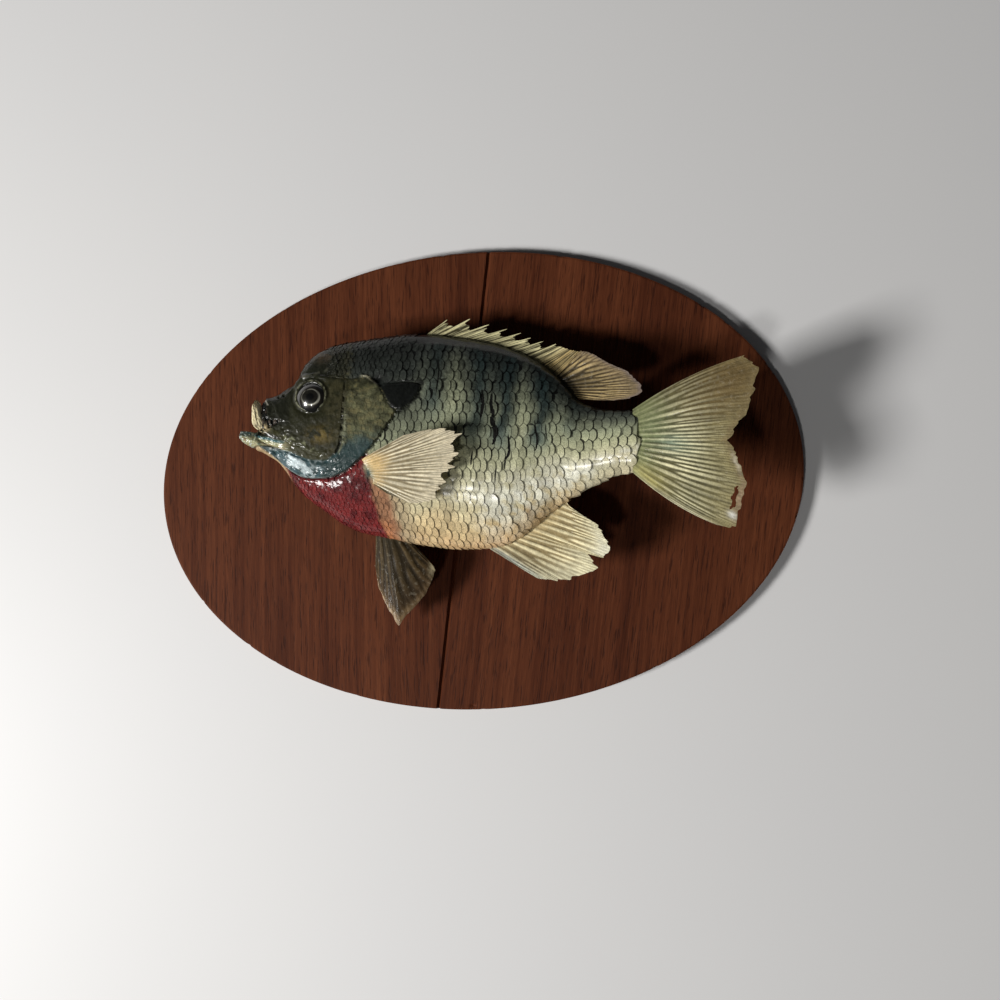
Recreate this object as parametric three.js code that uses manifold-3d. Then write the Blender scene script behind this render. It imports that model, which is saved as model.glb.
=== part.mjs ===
// A bluegill sunfish, skin mounted, screwed flat on an oval wood-panel board.
// Millimetres. The board lies on its back: X runs from the fish's snout to its tail,
// Y from its belly to its back, and Z out of the board. The origin is the middle of the board's back.
import * as THREE from 'three';
import { mergeVertices } from 'three/addons/utils/BufferGeometryUtils.js';
import Module from 'manifold-3d';

const wasm = await Module();
wasm.setup();

// ---------- Driving dimensions ----------
const gap = 0.3; // clearance between neighbouring pieces
const overrun = 2; // how far a cutter runs past what it cuts

const board = { length: 283, width: 200, thickness: 6, sides: 88 };
const groove = { top: [14.1, 99], foot: [-22.6, -100.2], width: 1.8, depth: 1.3, past: 10 };
const screws = {
  places: [[-23, 15], [7, 14]],
  headRadius: 3.6, headRim: 0.4, headDepth: 2.2, shankRadius: 1.7, point: 2, length: 16, sunk: 0.3, sides: 18,
};

// The fish is laid out level and then turned a little on the board, nose up.
const fishTurn = THREE.MathUtils.degToRad(-4.05);

// The fish, as values at places along its own X.
const noseX = -87.3; // front of the upper lip
const tailRootX = 71.5; // where the tail fin's rays begin
const backLine = [
  [-88.5, 33.2], [-84, 33.9], [-79, 35.2], [-74.5, 38.2], [-70.6, 41.2], [-68.7, 45], [-66.6, 49],
  [-61.3, 54.2], [-53.1, 57.2], [-44.8, 58.8], [-34.4, 60.3], [-23.9, 61.6], [-14, 61.7], [-4, 60.6],
  [4.7, 59.2], [14, 57.1], [22.4, 54], [29, 50.8], [35, 46.6], [40.5, 41], [45.6, 34.6], [51.5, 31],
  [59.6, 29], [66, 28.4], [72, 28.4],
];
const bellyLine = [
  [-94, 18.2], [-92.2, 15.7], [-89, 13.7], [-84.6, 11.6], [-79.7, 8.4], [-76.5, 5.4], [-73.6, 1.9],
  [-70.7, -2.4], [-65.4, -8.2], [-57.2, -14.6], [-51, -19], [-44, -22.2], [-37.4, -23.8], [-28.1, -25.6],
  [-15.5, -27.8], [-2.8, -29], [8.6, -28.7], [17.7, -26.8], [25.6, -22], [33.3, -15.6], [40.5, -10],
  [46.6, -6.6], [55.5, -1.7], [63.6, 1.5], [72, 2.5],
];
// The height of the fish's own middle plane over the board's back.
const midPlane = [
  [-94, 37.5], [-65, 32], [-42, 28], [-17, 25.8], [10, 25.5], [35, 27.5], [55, 32.5], [72, 37.5],
  [95, 44], [118, 51.5],
];
const halfThickness = [
  [-88.5, 5.4], [-84, 6.6], [-79, 8], [-73, 10], [-65, 12.9], [-55, 15.4], [-45, 17.3], [-30, 18.8],
  [-15, 19], [0, 18.5], [15, 16.8], [30, 13.8], [42, 10.6], [52, 7.9], [60, 6.2], [66, 4.8], [72, 3],
];
const rightSwell = 1.07; // the board side is a little fuller before it is flattened
const sectionPower = 0.54; // 0.5 is an ellipse; more makes the back and belly edges sharper
const contactHeight = board.thickness + gap;

const mouth = { backX: -80, lowerLipX: -93.6, lipFloor: 19.6, upperLipBottom: 21, chinDepth: 1.2 };
const jawHalfThickness = [[-94, 2], [-92.4, 4.2], [-89, 5.6], [-84, 6.9], [-79, 8.2], [-70, 11.2]];

const parting = { headBackX: -45, tailStartX: 47 };
const sideSplit = { left: 35, right: 31 }; // heights between the two flanks, all over the gill covers
const gillCover = {
  thickness: 2, lift: 0.5,
  outline: [
    [-47.8, 40], [-40, 41.5], [-32, 38.3], [-25.6, 32], [-25, 28.2], [-31.2, 20.1], [-36.6, 12.9],
    [-41.6, 8], [-47.8, 3.2], [-56.1, 0.7], [-64.5, 0.8], [-69, 2.4], [-74, 6], [-77.5, 10], [-71, 12],
    [-62.7, 8.3], [-56, 8.2], [-51, 11.2], [-49, 15], [-48.2, 24],
  ],
};
const earFlap = {
  thickness: 1.5, around: [-60, 20],
  outline: [
    [-31.4, 37.8], [-24, 39.2], [-17.9, 38.6], [-17, 36], [-19.8, 31.6], [-24.2, 28.4], [-25.2, 32.4],
  ],
};
const breastOutline = [
  [-78, 2], [-74, 5.2], [-69, 1.9], [-64.5, 0.2], [-56.1, 0.1], [-47.8, 2.6], [-41.6, 7.4], [-38, 6],
  [-37, -6], [-38.5, -30], [-80, -30],
];
const eye = { place: [-61.8, 34.1], radius: 6.2, depth: 3, around: 18, rows: 10 };

// Fins: where the rays start, then their tips in order round the fin's edge.
const finThickness = 0.8;
const finRoot = 1.6; // thickness at the base
const finThinsBy = 0.5; // the share of a ray's length over which the base thins out
const dorsalSpines = {
  bases: [
    [-18.5, 60], [-13, 60], [-6.5, 59.5], [0.5, 58.5], [7, 57], [13, 55.5], [19, 53.5], [25, 51],
    [30, 48], [34, 45.6],
  ],
  tips: [
    [-8.4, 67.4], [1.4, 67.6], [9.4, 65], [17, 63.1], [22.9, 61.2], [27, 59], [32.1, 57.4], [37.5, 56.2],
    [43.3, 54.4], [46, 54],
  ],
  webReach: 0.66,
};
const softDorsal = {
  from: [37.5, 42], to: [45, 33.4],
  tips: [
    [47.9, 53], [51.5, 52], [55.5, 49.8], [61.6, 46.2], [66.7, 43.4], [70, 40.6], [72.3, 38.1],
    [73, 35.6], [71.5, 34], [67.5, 32.5], [61.6, 31.9], [55.5, 32.2], [51, 32.6],
  ],
};
const analFin = {
  from: [6.5, -26.5], to: [41, -8],
  tips: [
    [30.1, -41], [36, -42.2], [42.5, -42.6], [51.2, -39], [55.6, -36], [52.5, -30.8], [57.4, -32],
    [60.2, -32.6], [61.9, -27.8], [61.2, -26], [57.4, -21.6], [55.5, -18.6], [49, -14.7], [43.5, -11.2],
  ],
};
const tailFin = {
  top: [71.5, 28.2], middle: [71.5, 15.4], bottom: [71.5, 2.7], split: 0.4, rootThickness: 5.4,
  upperTips: [
    [111, 47.4], [113.5, 45.6], [116.4, 42.5], [115.3, 35.7], [113.9, 30], [112.1, 24.4], [109.9, 22.3],
    [107.4, 18], [105.9, 15.2],
  ],
  lowerTips: [
    [105.9, 14.6], [107.4, 11], [109.2, 7.1], [110.1, 2], [111, -1.7], [109.8, -8], [109.5, -12.9],
    [108.5, -18.3], [105.6, -19.1], [101.9, -18.3],
  ],
};
const leftPectoral = {
  from: [-39.4, 7], to: [-35.6, -3.6], rootHeight: 38, tipHeight: 55,
  tips: [
    [-20, 17.6], [-10.4, 19.6], [-6.5, 20.1], [-0.5, 20], [2.6, 18], [1, 15.2], [0.2, 12.6], [1.8, 9.8],
    [-1.2, 7], [1, 5.4], [-4, 2.8], [-4.2, -1], [-6.1, -4], [-9.6, -5.9], [-14.4, -7.5], [-20, -6.8],
    [-27, -4.2],
  ],
};
const rightPectoral = {
  from: [-39, -2], to: [-33.5, -9], rootHeight: 16.5, tipHeight: 7.8,
  tips: [[-16, -10], [-10, -13.5], [-7, -18], [-6.5, -23], [-9, -27], [-15, -28.5], [-22, -26.5]],
};
const leftPelvic = {
  from: [-37.6, -20.6], to: [-27, -23], rootHeight: 31, tipHeight: 21,
  tips: [
    [-40.2, -38.2], [-38.3, -46.8], [-35.2, -52.3], [-32.6, -56.4], [-29.4, -62.4], [-23.9, -56.1],
    [-18.7, -50], [-15.3, -44.5], [-13.4, -39.4], [-14, -37.2], [-18, -32.6],
  ],
};
const rightPelvic = {
  from: [-37.8, -20.6], to: [-28.5, -22.8], rootHeight: 24, tipHeight: 15,
  tips: [
    [-41.5, -37], [-40, -46.6], [-37.5, -53], [-35.6, -56.6], [-31, -63.6], [-25.6, -57], [-20.5, -49.8],
    [-17.6, -44], [-16.5, -38], [-20.5, -31.5],
  ],
};

// ---------- Materials ----------
const finish = (color, roughness) => new THREE.MeshStandardMaterial({ color, roughness, metalness: 0 });
const finishes = {
  wood: finish(0x6b3624, 0.5),
  steel: new THREE.MeshStandardMaterial({ color: 0x9a9a96, roughness: 0.35, metalness: 1 }),
  olive: finish(0x3c4034, 0.4),
  bone: finish(0xe2cf9c, 0.7),
  jaw: finish(0xb9bd93, 0.4),
  crimson: finish(0x8c2026, 0.3),
  flank: finish(0x8b947e, 0.4),
  black: finish(0x1c1c1b, 0.4),
  straw: finish(0xcdbf8c, 0.5),
  cream: finish(0xddd3a6, 0.5),
  darkFin: finish(0x4a4a33, 0.45),
  glass: finish(0x15130f, 0.05),
};

// ---------- Curves and solids ----------
// A smooth value through [place, value] pairs: cubic pieces whose slopes never overshoot the pairs.
function through(pairs) {
  const steps = pairs.slice(1).map(([x, y], i) => (y - pairs[i][1]) / (x - pairs[i][0]));
  const slopes = pairs.map((_, i) => {
    const before = steps[i - 1] ?? steps[i];
    const after = steps[i] ?? before;
    return before * after <= 0 ? 0 : (2 * before * after) / (before + after);
  });
  return (x) => {
    const beyond = pairs.slice(1, -1).findIndex(([place]) => place > x);
    const i = beyond < 0 ? pairs.length - 2 : beyond;
    const [x0, y0] = pairs[i];
    const [x1, y1] = pairs[i + 1];
    const width = x1 - x0;
    const t = THREE.MathUtils.clamp((x - x0) / width, 0, 1);
    const rest = 1 - t;
    return rest * rest * (y0 * (1 + 2 * t) + slopes[i] * width * t)
      + t * t * (y1 * (1 + 2 * rest) - slopes[i + 1] * width * rest);
  };
}

const backAt = through(backLine);
const bellyAt = through(bellyLine);
const middleAt = through(midPlane);
const thicknessAt = through(halfThickness);
const jawThicknessAt = through(jawHalfThickness);

// A closed skin over rings of points. Each end is a ladder between the ring's two halves,
// so a bent flat ring closes too.
function closedRings(rings) {
  const around = rings[0].length;
  const faces = [];
  for (let r = 0; r + 1 < rings.length; r++) {
    for (let k = 0; k < around; k++) {
      const a = r * around + k;
      const b = r * around + ((k + 1) % around);
      faces.push(a, b, a + around, b, b + around, a + around);
    }
  }
  const last = (rings.length - 1) * around;
  for (let k = 0; k < around / 2 - 1; k++) {
    const [a, b, c, d] = [k, k + 1, around - 2 - k, around - 1 - k];
    faces.push(b, a, d, b, d, c);
    faces.push(last + a, last + b, last + d, last + b, last + c, last + d);
  }
  const geometry = new THREE.BufferGeometry().setFromPoints(rings.flat());
  geometry.setIndex(faces);
  return geometry;
}

// The same solid with its faces turned to point out.
function outward(geometry) {
  const { position } = geometry.attributes;
  const index = geometry.index.array;
  const [a, b, c] = [0, 1, 2].map(() => new THREE.Vector3());
  let volume = 0;
  for (let i = 0; i < index.length; i += 3) {
    [a, b, c].forEach((corner, k) => corner.fromBufferAttribute(position, index[i + k]));
    volume += a.dot(b.cross(c));
  }
  if (volume < 0) geometry.setIndex(Array.from(index).reverse());
  return geometry;
}

// A point of the flank: how far up the section (1 back, -1 belly), and which side.
function flankPoint(x, level, side, { top, bottom, half, grow = 0, floor = contactHeight }) {
  const bulge = Math.max(0, 1 - level * level) ** sectionPower;
  const reach = bulge * (half + grow) * (side < 0 ? -rightSwell : 1);
  const y = (top + bottom) / 2 + level * ((top - bottom) / 2 + grow);
  return new THREE.Vector3(x, y, Math.max(floor, middleAt(x) + reach));
}

// The fish's body from one place to another, grown outwards by a clearance or thinned from inside its flanks.
function bodyLoft(fromX, toX, options = {}) {
  const { grow = 0, thin = 0, floor = contactHeight, stations = 36, around = 24 } = options;
  const { top = backAt, bottom = bellyAt, half = thicknessAt } = options;
  const rings = [];
  for (let i = 0; i <= stations; i++) {
    const x = THREE.MathUtils.lerp(fromX, toX, i / stations);
    const sizes = { top: top(x), bottom: bottom(x), half: half(x) - thin, grow, floor };
    const ring = [];
    for (let k = 0; k < around; k++) {
      const angle = (k / around) * 2 * Math.PI;
      ring.push(flankPoint(x, Math.cos(angle), Math.sin(angle) < 0 ? -1 : 1, sizes));
    }
    rings.push(ring);
  }
  return closedRings(rings);
}

// An upright prism over an outline in the board's plane.
function prism(outline, low, high) {
  const shape = new THREE.Shape(outline.map(([x, y]) => new THREE.Vector2(x, y)));
  const geometry = new THREE.ExtrudeGeometry(shape, { depth: high - low, bevelEnabled: false, steps: 1 });
  return geometry.translate(0, 0, low);
}

const toSolid = (geometry) => {
  const bare = geometry.clone();
  bare.deleteAttribute('normal');
  bare.deleteAttribute('uv');
  const { attributes, index } = mergeVertices(bare, 1e-4);
  const vertProperties = new Float32Array(attributes.position.array);
  const triVerts = new Uint32Array(index.array);
  return new wasm.Manifold(new wasm.Mesh({ numProp: 3, vertProperties, triVerts }));
};

const toGeometry = (solid) => {
  const mesh = solid.getMesh();
  const geometry = new THREE.BufferGeometry();
  geometry.setAttribute('position', new THREE.BufferAttribute(mesh.vertProperties, 3));
  geometry.setIndex(new THREE.BufferAttribute(mesh.triVerts, 1));
  geometry.computeVertexNormals();
  return geometry;
};

const model = new THREE.Group();
const fish = new THREE.Group();
fish.rotation.z = fishTurn;
model.add(fish);

function addPart(name, geometry, material, group = fish) {
  const mesh = new THREE.Mesh(geometry, material);
  mesh.name = name;
  group.add(mesh);
}

// ---------- Board and screws ----------
function ovalBoard() {
  const shape = new THREE.Shape();
  for (let k = 0; k < board.sides; k++) {
    const angle = (k / board.sides) * 2 * Math.PI;
    shape[k ? 'lineTo' : 'moveTo']((board.length / 2) * Math.cos(angle), (board.width / 2) * Math.sin(angle));
  }
  const settings = { depth: board.thickness, bevelEnabled: false, steps: 1 };
  const geometry = new THREE.ExtrudeGeometry(shape, settings);
  return toSolid(geometry).subtract(grooveCutter()).subtract(screwSolids(gap));
}

// The V between the two panel strips, as a long wedge laid point down.
function grooveCutter() {
  const run = new THREE.Vector2(...groove.top).sub(new THREE.Vector2(...groove.foot));
  const corners = [[-groove.width, groove.depth], [0, -groove.depth], [groove.width, groove.depth]];
  const wedge = new THREE.Shape(corners.map(([x, y]) => new THREE.Vector2(x, y)));
  const length = run.length() + 2 * groove.past;
  const geometry = new THREE.ExtrudeGeometry(wedge, { depth: length, bevelEnabled: false, steps: 1 });
  geometry.translate(0, 0, -length / 2).rotateX(Math.PI / 2).rotateZ(run.angle() - Math.PI / 2);
  const [x, y] = [0, 1].map((axis) => (groove.top[axis] + groove.foot[axis]) / 2);
  return toSolid(geometry.translate(x, y, board.thickness));
}

// A countersunk screw from the board's back up into the body.
function screwGeometry([x, y], clearance) {
  const low = clearance ? -1 : screws.sunk;
  const head = screws.headRadius + clearance;
  const shank = screws.shankRadius + clearance;
  const profile = [
    [0, low], [head, low], [head, screws.sunk + screws.headRim], [shank, screws.sunk + screws.headDepth],
    [shank, screws.length - screws.point], [0, screws.length + clearance],
  ];
  const geometry = new THREE.LatheGeometry(profile.map(([r, z]) => new THREE.Vector2(r, z)), screws.sides);
  return geometry.rotateX(Math.PI / 2).translate(x, y, 0);
}

// Both screws as one solid, turned back by an angle to cut a piece that is laid out level.
function screwSolids(clearance, turn = 0) {
  const solids = screws.places.map((place) => toSolid(screwGeometry(place, clearance).rotateZ(turn)));
  return solids.reduce((all, one) => all.add(one));
}

addPart('board', toGeometry(ovalBoard()), finishes.wood, model);
['screw_front', 'screw_rear'].forEach((name, i) => {
  addPart(name, screwGeometry(screws.places[i], 0), finishes.steel, model);
});

// ---------- Body, parted by thin cuts ----------
const [bodyStartX, bodyEndX] = [mouth.backX, tailRootX - gap];
const wholeBody = toSolid(bodyLoft(bodyStartX, bodyEndX));
const bodyAround = toSolid(bodyLoft(bodyStartX - overrun, bodyEndX, { grow: gap, floor: 0 }));

// The body's core, a shell's thickness in from the flanks.
function bodyWithin(thickness, ends) {
  const options = { thin: thickness, floor: contactHeight + thickness };
  return toSolid(bodyLoft(bodyStartX - overrun, bodyEndX + ends, options));
}

// The outline moved outwards by the clearance, corner by corner.
function cutOutline(outline, clearance) {
  const points = outline.map(([x, y]) => new THREE.Vector2(x, y));
  const turn = Math.sign(THREE.ShapeUtils.area(points));
  return points.map((point, i) => {
    const before = point.clone().sub(points.at(i - 1)).normalize();
    const after = points[(i + 1) % points.length].clone().sub(point).normalize();
    const away = before.add(after).normalize();
    return [point.x + away.y * turn * clearance, point.y - away.x * turn * clearance];
  });
}

// Blocks that reach past the fish on every side they aren't cut to.
const [farDown, farUp, farOut] = [-5, 80, 80];
const block = (outline, clearance = 0) => toSolid(prism(cutOutline(outline, clearance), farDown, farUp));
const slab = (fromX, toX) => block([[fromX, -farOut], [toX, -farOut], [toX, farOut], [fromX, farOut]]);

// One side's shell of an outline: from the outer skin in by the cover's thickness.
function sideShell(outline, side, outer, inner) {
  const [low, high] = side > 0 ? [sideSplit.left, farUp] : [farDown, sideSplit.right];
  return toSolid(prism(outline, low, high)).intersect(outer).subtract(inner);
}

// An eyeball sunk square into the flank, so that a round cap of it shows.
function eyeball(side, clearance) {
  const flankAt = (x, y) => {
    const [top, bottom, half] = [backAt(x), bellyAt(x), thicknessAt(x)];
    return flankPoint(x, (2 * y - top - bottom) / (top - bottom), side, { top, bottom, half });
  };
  const [x, y] = eye.place;
  const surface = flankAt(x, y);
  const along = flankAt(x + 1, y).sub(surface);
  const up = flankAt(x, y + 1).sub(surface);
  const centre = surface.addScaledVector(along.cross(up).normalize(), -side * eye.depth);
  const geometry = new THREE.SphereGeometry(eye.radius + clearance, eye.around, eye.rows);
  return geometry.translate(centre.x, centre.y, centre.z);
}

const sides = [['left', 1], ['right', -1]];
const coverSeat = bodyWithin(gillCover.thickness, overrun);
const coverInner = bodyWithin(gillCover.thickness - gap, 0);
const coverBlock = block(gillCover.outline, gap);
const wayOut = toSolid(bodyLoft(bodyStartX, bodyEndX, { grow: overrun, floor: 0 }));

let core = wholeBody;
sides.forEach(([, side]) => {
  core = core.subtract(sideShell(cutOutline(gillCover.outline, gap), side, wayOut, coverSeat));
  core = core.subtract(toSolid(eyeball(side, gap)));
});
core = core.subtract(screwSolids(gap, -fishTurn));

const { headBackX, tailStartX } = parting;
const breastGap = block(breastOutline, gap);
const head = core.intersect(slab(bodyStartX, headBackX)).subtract(breastGap);
const trunk = core.intersect(slab(headBackX + gap, tailStartX)).subtract(breastGap);
addPart('head', toGeometry(head), finishes.olive);
addPart('breast', toGeometry(core.intersect(block(breastOutline))), finishes.crimson);
addPart('trunk', toGeometry(trunk), finishes.flank);
addPart('tail_stalk', toGeometry(core.intersect(slab(tailStartX + gap, bodyEndX))), finishes.flank);

const coverOuter = toSolid(bodyLoft(bodyStartX, bodyEndX, { grow: gillCover.lift }));
const flapOuter = toSolid(bodyLoft(...earFlap.around, { grow: earFlap.thickness }));
sides.forEach(([name, side]) => {
  const cover = sideShell(gillCover.outline, side, coverOuter, coverInner);
  const flap = sideShell(earFlap.outline, side, flapOuter, bodyAround).subtract(coverBlock);
  addPart(`gill_cover_${name}`, toGeometry(cover), finishes.olive);
  addPart(`ear_flap_${name}`, toGeometry(flap), finishes.black);
  addPart(`eye_${name}`, eyeball(side, 0), finishes.glass);
});

// ---------- Jaws ----------
const jawEndX = mouth.backX - gap;
const upperJaw = bodyLoft(noseX, jawEndX, { bottom: () => mouth.upperLipBottom, stations: 5, around: 20 });
addPart('upper_jaw', toGeometry(toSolid(upperJaw)), finishes.bone);

const lowerJaw = bodyLoft(mouth.lowerLipX, jawEndX, {
  top: (x) => Math.max(bellyAt(x) + mouth.chinDepth, mouth.lipFloor),
  half: jawThicknessAt,
  stations: 8,
  around: 20,
});
addPart('lower_jaw', toGeometry(toSolid(lowerJaw)), finishes.jaw);

// ---------- Fins ----------
const between = (a, b, t) => [0, 1].map((axis) => THREE.MathUtils.lerp(a[axis], b[axis], t));

// A fin on the fish's middle plane, and one that swings from its root's height to its tip's.
const onMiddle = (x) => middleAt(x);
const swung = ({ rootHeight, tipHeight }) => (x, t) => THREE.MathUtils.lerp(rootHeight, tipHeight, t ** 0.6);

// Rays whose roots are spaced evenly along the line from one end of the fin's base to the other.
function spacedRays({ from, to, tips }) {
  return tips.map((tip, i) => ({ root: between(from, to, i / (tips.length - 1)), tip }));
}

// The spiny fin: every spine's tip stands free, and the web between two spines reaches part of the way.
function spinyRays({ bases, tips, webReach }) {
  return bases.flatMap((root, i) => {
    const spine = { root, tip: tips[i] };
    if (i + 1 === bases.length) return [spine];
    const webRoot = between(root, bases[i + 1], 0.5);
    const webTip = between(webRoot, between(tips[i], tips[i + 1], 0.5), webReach);
    return [spine, { root: webRoot, tip: webTip }];
  });
}

// A thin plate over rays from root to tip: each ray is a loop up one face and back down the other.
function finPlate(rays, heightAt, { root = finRoot, rows = 4 } = {}) {
  const rings = rays.map((ray) => {
    const faces = [1, -1].map((face) => Array.from({ length: rows + 1 }, (_, j) => {
      const t = j / rows;
      const [x, y] = between(ray.root, ray.tip, t);
      const thickness = THREE.MathUtils.lerp(root, finThickness, Math.min(1, t / finThinsBy));
      return new THREE.Vector3(x, y, heightAt(x, t) + (face * thickness) / 2);
    }));
    return [...faces[0], ...faces[1].reverse()];
  });
  return outward(closedRings(rings));
}

const largestPiece = (solid) => solid.decompose().reduce((a, b) => (a.volume() > b.volume() ? a : b));

function addFin(name, rays, heightAt, material, options) {
  const solid = toSolid(finPlate(rays, heightAt, options)).subtract(bodyAround).subtract(coverBlock);
  addPart(name, toGeometry(largestPiece(solid)), material);
}

addFin('dorsal_fin_spiny', spinyRays(dorsalSpines), onMiddle, finishes.straw);
addFin('dorsal_fin_soft', spacedRays(softDorsal), onMiddle, finishes.straw);
addFin('anal_fin', spacedRays(analFin), onMiddle, finishes.straw);

const { top, middle, bottom, split, upperTips, lowerTips, rootThickness } = tailFin;
const [aboveMiddle, belowMiddle] = [1, -1].map((way) => [middle[0], middle[1] + (way * split) / 2]);
const upperRays = spacedRays({ from: top, to: aboveMiddle, tips: upperTips });
const lowerRays = spacedRays({ from: belowMiddle, to: bottom, tips: lowerTips });
const thickRoot = { root: rootThickness, rows: 6 };
addFin('tail_fin_upper', upperRays, onMiddle, finishes.straw, thickRoot);
addFin('tail_fin_lower', lowerRays, onMiddle, finishes.straw, thickRoot);

addFin('pectoral_fin_left', spacedRays(leftPectoral), swung(leftPectoral), finishes.cream);
addFin('pectoral_fin_right', spacedRays(rightPectoral), swung(rightPectoral), finishes.cream);
addFin('pelvic_fin_left', spacedRays(leftPelvic), swung(leftPelvic), finishes.darkFin);
addFin('pelvic_fin_right', spacedRays(rightPelvic), swung(rightPelvic), finishes.darkFin);

export default model;
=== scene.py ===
import math

import bpy
import numpy as np
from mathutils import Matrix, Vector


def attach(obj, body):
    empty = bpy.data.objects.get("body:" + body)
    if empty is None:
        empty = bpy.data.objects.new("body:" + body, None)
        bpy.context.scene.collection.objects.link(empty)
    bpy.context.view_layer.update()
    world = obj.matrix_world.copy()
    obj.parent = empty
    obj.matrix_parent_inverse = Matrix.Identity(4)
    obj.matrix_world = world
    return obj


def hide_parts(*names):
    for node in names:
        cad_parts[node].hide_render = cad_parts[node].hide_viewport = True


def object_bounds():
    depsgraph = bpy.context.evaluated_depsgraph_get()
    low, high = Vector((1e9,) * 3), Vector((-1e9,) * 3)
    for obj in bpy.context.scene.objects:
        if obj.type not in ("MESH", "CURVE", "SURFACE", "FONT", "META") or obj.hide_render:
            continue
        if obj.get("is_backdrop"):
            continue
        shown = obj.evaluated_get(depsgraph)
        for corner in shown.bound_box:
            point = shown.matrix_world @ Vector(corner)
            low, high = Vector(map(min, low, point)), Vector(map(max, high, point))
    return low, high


# A bluegill sunfish, skin mounted on an oval wood panel. The fish is worked out in millimetres, laid out level:
# x runs from snout to tail, y from belly to back, z out of the board. place() turns it on the board, in metres.
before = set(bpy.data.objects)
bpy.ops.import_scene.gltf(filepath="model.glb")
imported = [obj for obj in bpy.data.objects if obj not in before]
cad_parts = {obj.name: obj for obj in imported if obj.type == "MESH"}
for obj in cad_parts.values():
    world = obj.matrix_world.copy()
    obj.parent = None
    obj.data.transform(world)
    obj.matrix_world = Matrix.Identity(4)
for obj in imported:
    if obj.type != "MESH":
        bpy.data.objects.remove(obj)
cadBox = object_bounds()
print("frame loaded:", len(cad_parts), "nodes")

mm = 0.001
fishTurn = math.radians(-4.05)


def place(points):
    # a turn about z by fishTurn, then millimetres to metres
    c, s = math.cos(fishTurn), math.sin(fishTurn)
    x, y, z = points[..., 0], points[..., 1], points[..., 2]
    return np.stack([c * x - s * y, s * x + c * y, z], -1) * mm


# Numbers along lines

def smooth(x, low, high):
    t = np.clip((x - low) / (high - low), 0, 1)  # 0 below low, 1 above high, an S between
    return t * t * (3 - 2 * t)


def bell(x, width):
    return np.exp(-(x / width) ** 2)  # 1 at 0, falling off over width


def lerp(a, b, t):
    return a + (b - a) * t


def through(pairs, x):
    # a cubic through [place, value] pairs; the slope at a pair is the harmonic mean of its neighbours' steps
    px, py = np.array(pairs, float).T
    step = np.diff(py) / np.diff(px)
    both = step[1:] * step[:-1]
    inner = np.where(both > 0, 2 * both / np.where(both > 0, step[1:] + step[:-1], 1), 0)
    slope = np.concatenate([step[:1], inner, step[-1:]])
    i = np.clip(np.searchsorted(px, x, side="right") - 1, 0, len(px) - 2)
    width = px[i + 1] - px[i]
    t = np.clip((x - px[i]) / width, 0, 1)
    r = 1 - t
    start = py[i] * (1 + 2 * t) + slope[i] * width * t
    end = py[i + 1] * (1 + 2 * r) - slope[i + 1] * width * r
    return r * r * start + t * t * end


def rounded(points, closed=False, parts=6):
    # a Catmull-Rom curve through the points, as a finer polyline
    p = np.array(points, float)
    p = np.vstack([p[-1:], p, p[:2]]) if closed else np.vstack([2 * p[0] - p[1], p, 2 * p[-1] - p[-2]])
    t = (np.arange(parts) / parts)[:, None, None]
    a, b, c, d = p[:-3], p[1:-2], p[2:-1], p[3:]
    curve = b + 0.5 * t * (c - a + t * (2 * a - 5 * b + 4 * c - d + t * (3 * (b - c) + d - a)))
    return np.vstack([curve.transpose(1, 0, 2).reshape(-1, 2), p[-2:-1]])


def nearPath(x, y, path):
    # the distance to a polyline, positive on its left, and how far along it the nearest place is, 0 to 1
    best = np.full(np.shape(x), 1e9)
    side = np.ones(np.shape(x))
    along = np.zeros(np.shape(x))
    for k, ((ax, ay), (bx, by)) in enumerate(zip(path[:-1], path[1:])):
        dx, dy = bx - ax, by - ay
        t = np.clip(((x - ax) * dx + (y - ay) * dy) / (dx * dx + dy * dy), 0, 1)
        ex, ey = x - ax - t * dx, y - ay - t * dy
        d = np.hypot(ex, ey)
        closer = d < best
        best = np.where(closer, d, best)
        side = np.where(closer, np.where(dx * ey - dy * ex < 0, -1, 1), side)
        along = np.where(closer, (k + t) / (len(path) - 1), along)
    return best * side, along


def mottle(x, y, size, seed):
    # smooth lattice noise from 0 to 1: seeded random values at the corners of squares, eased between them
    table = np.random.default_rng(seed).random((61, 67))
    u, v = np.asarray(x) / size + 500, np.asarray(y) / size + 500
    i, j = np.floor(u).astype(int), np.floor(v).astype(int)
    s, t = smooth(u - i, 0, 1), smooth(v - j, 0, 1)
    corner = lambda a, b: table[(i + a) % 61, (j + b) % 67]
    return lerp(lerp(corner(0, 0), corner(1, 0), s), lerp(corner(0, 1), corner(1, 1), s), t)


def cloud(x, y, size, seed):
    # three turned layers of mottle, each half the last one's size and strength
    total = 0
    for k, weight in enumerate((0.57, 0.29, 0.14)):
        c, s = math.cos(0.6 + 1.1 * k), math.sin(0.6 + 1.1 * k)
        total = total + weight * mottle(c * x - s * y, s * x + c * y, size / 2 ** k, seed + k)
    return total


def paint(base, colour, mask):
    return lerp(base, np.array(colour, float), np.asarray(mask)[..., None])


# Meshes from grids

def gridFaces(rows, cols, start=0, wrap=False):
    i, j = np.meshgrid(np.arange(rows - 1), np.arange(cols if wrap else cols - 1), indexing="ij")
    a, b = (i * cols + j).ravel(), (i * cols + (j + 1) % cols).ravel()
    return np.stack([a, b, b + cols, a + cols], -1) + start


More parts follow.
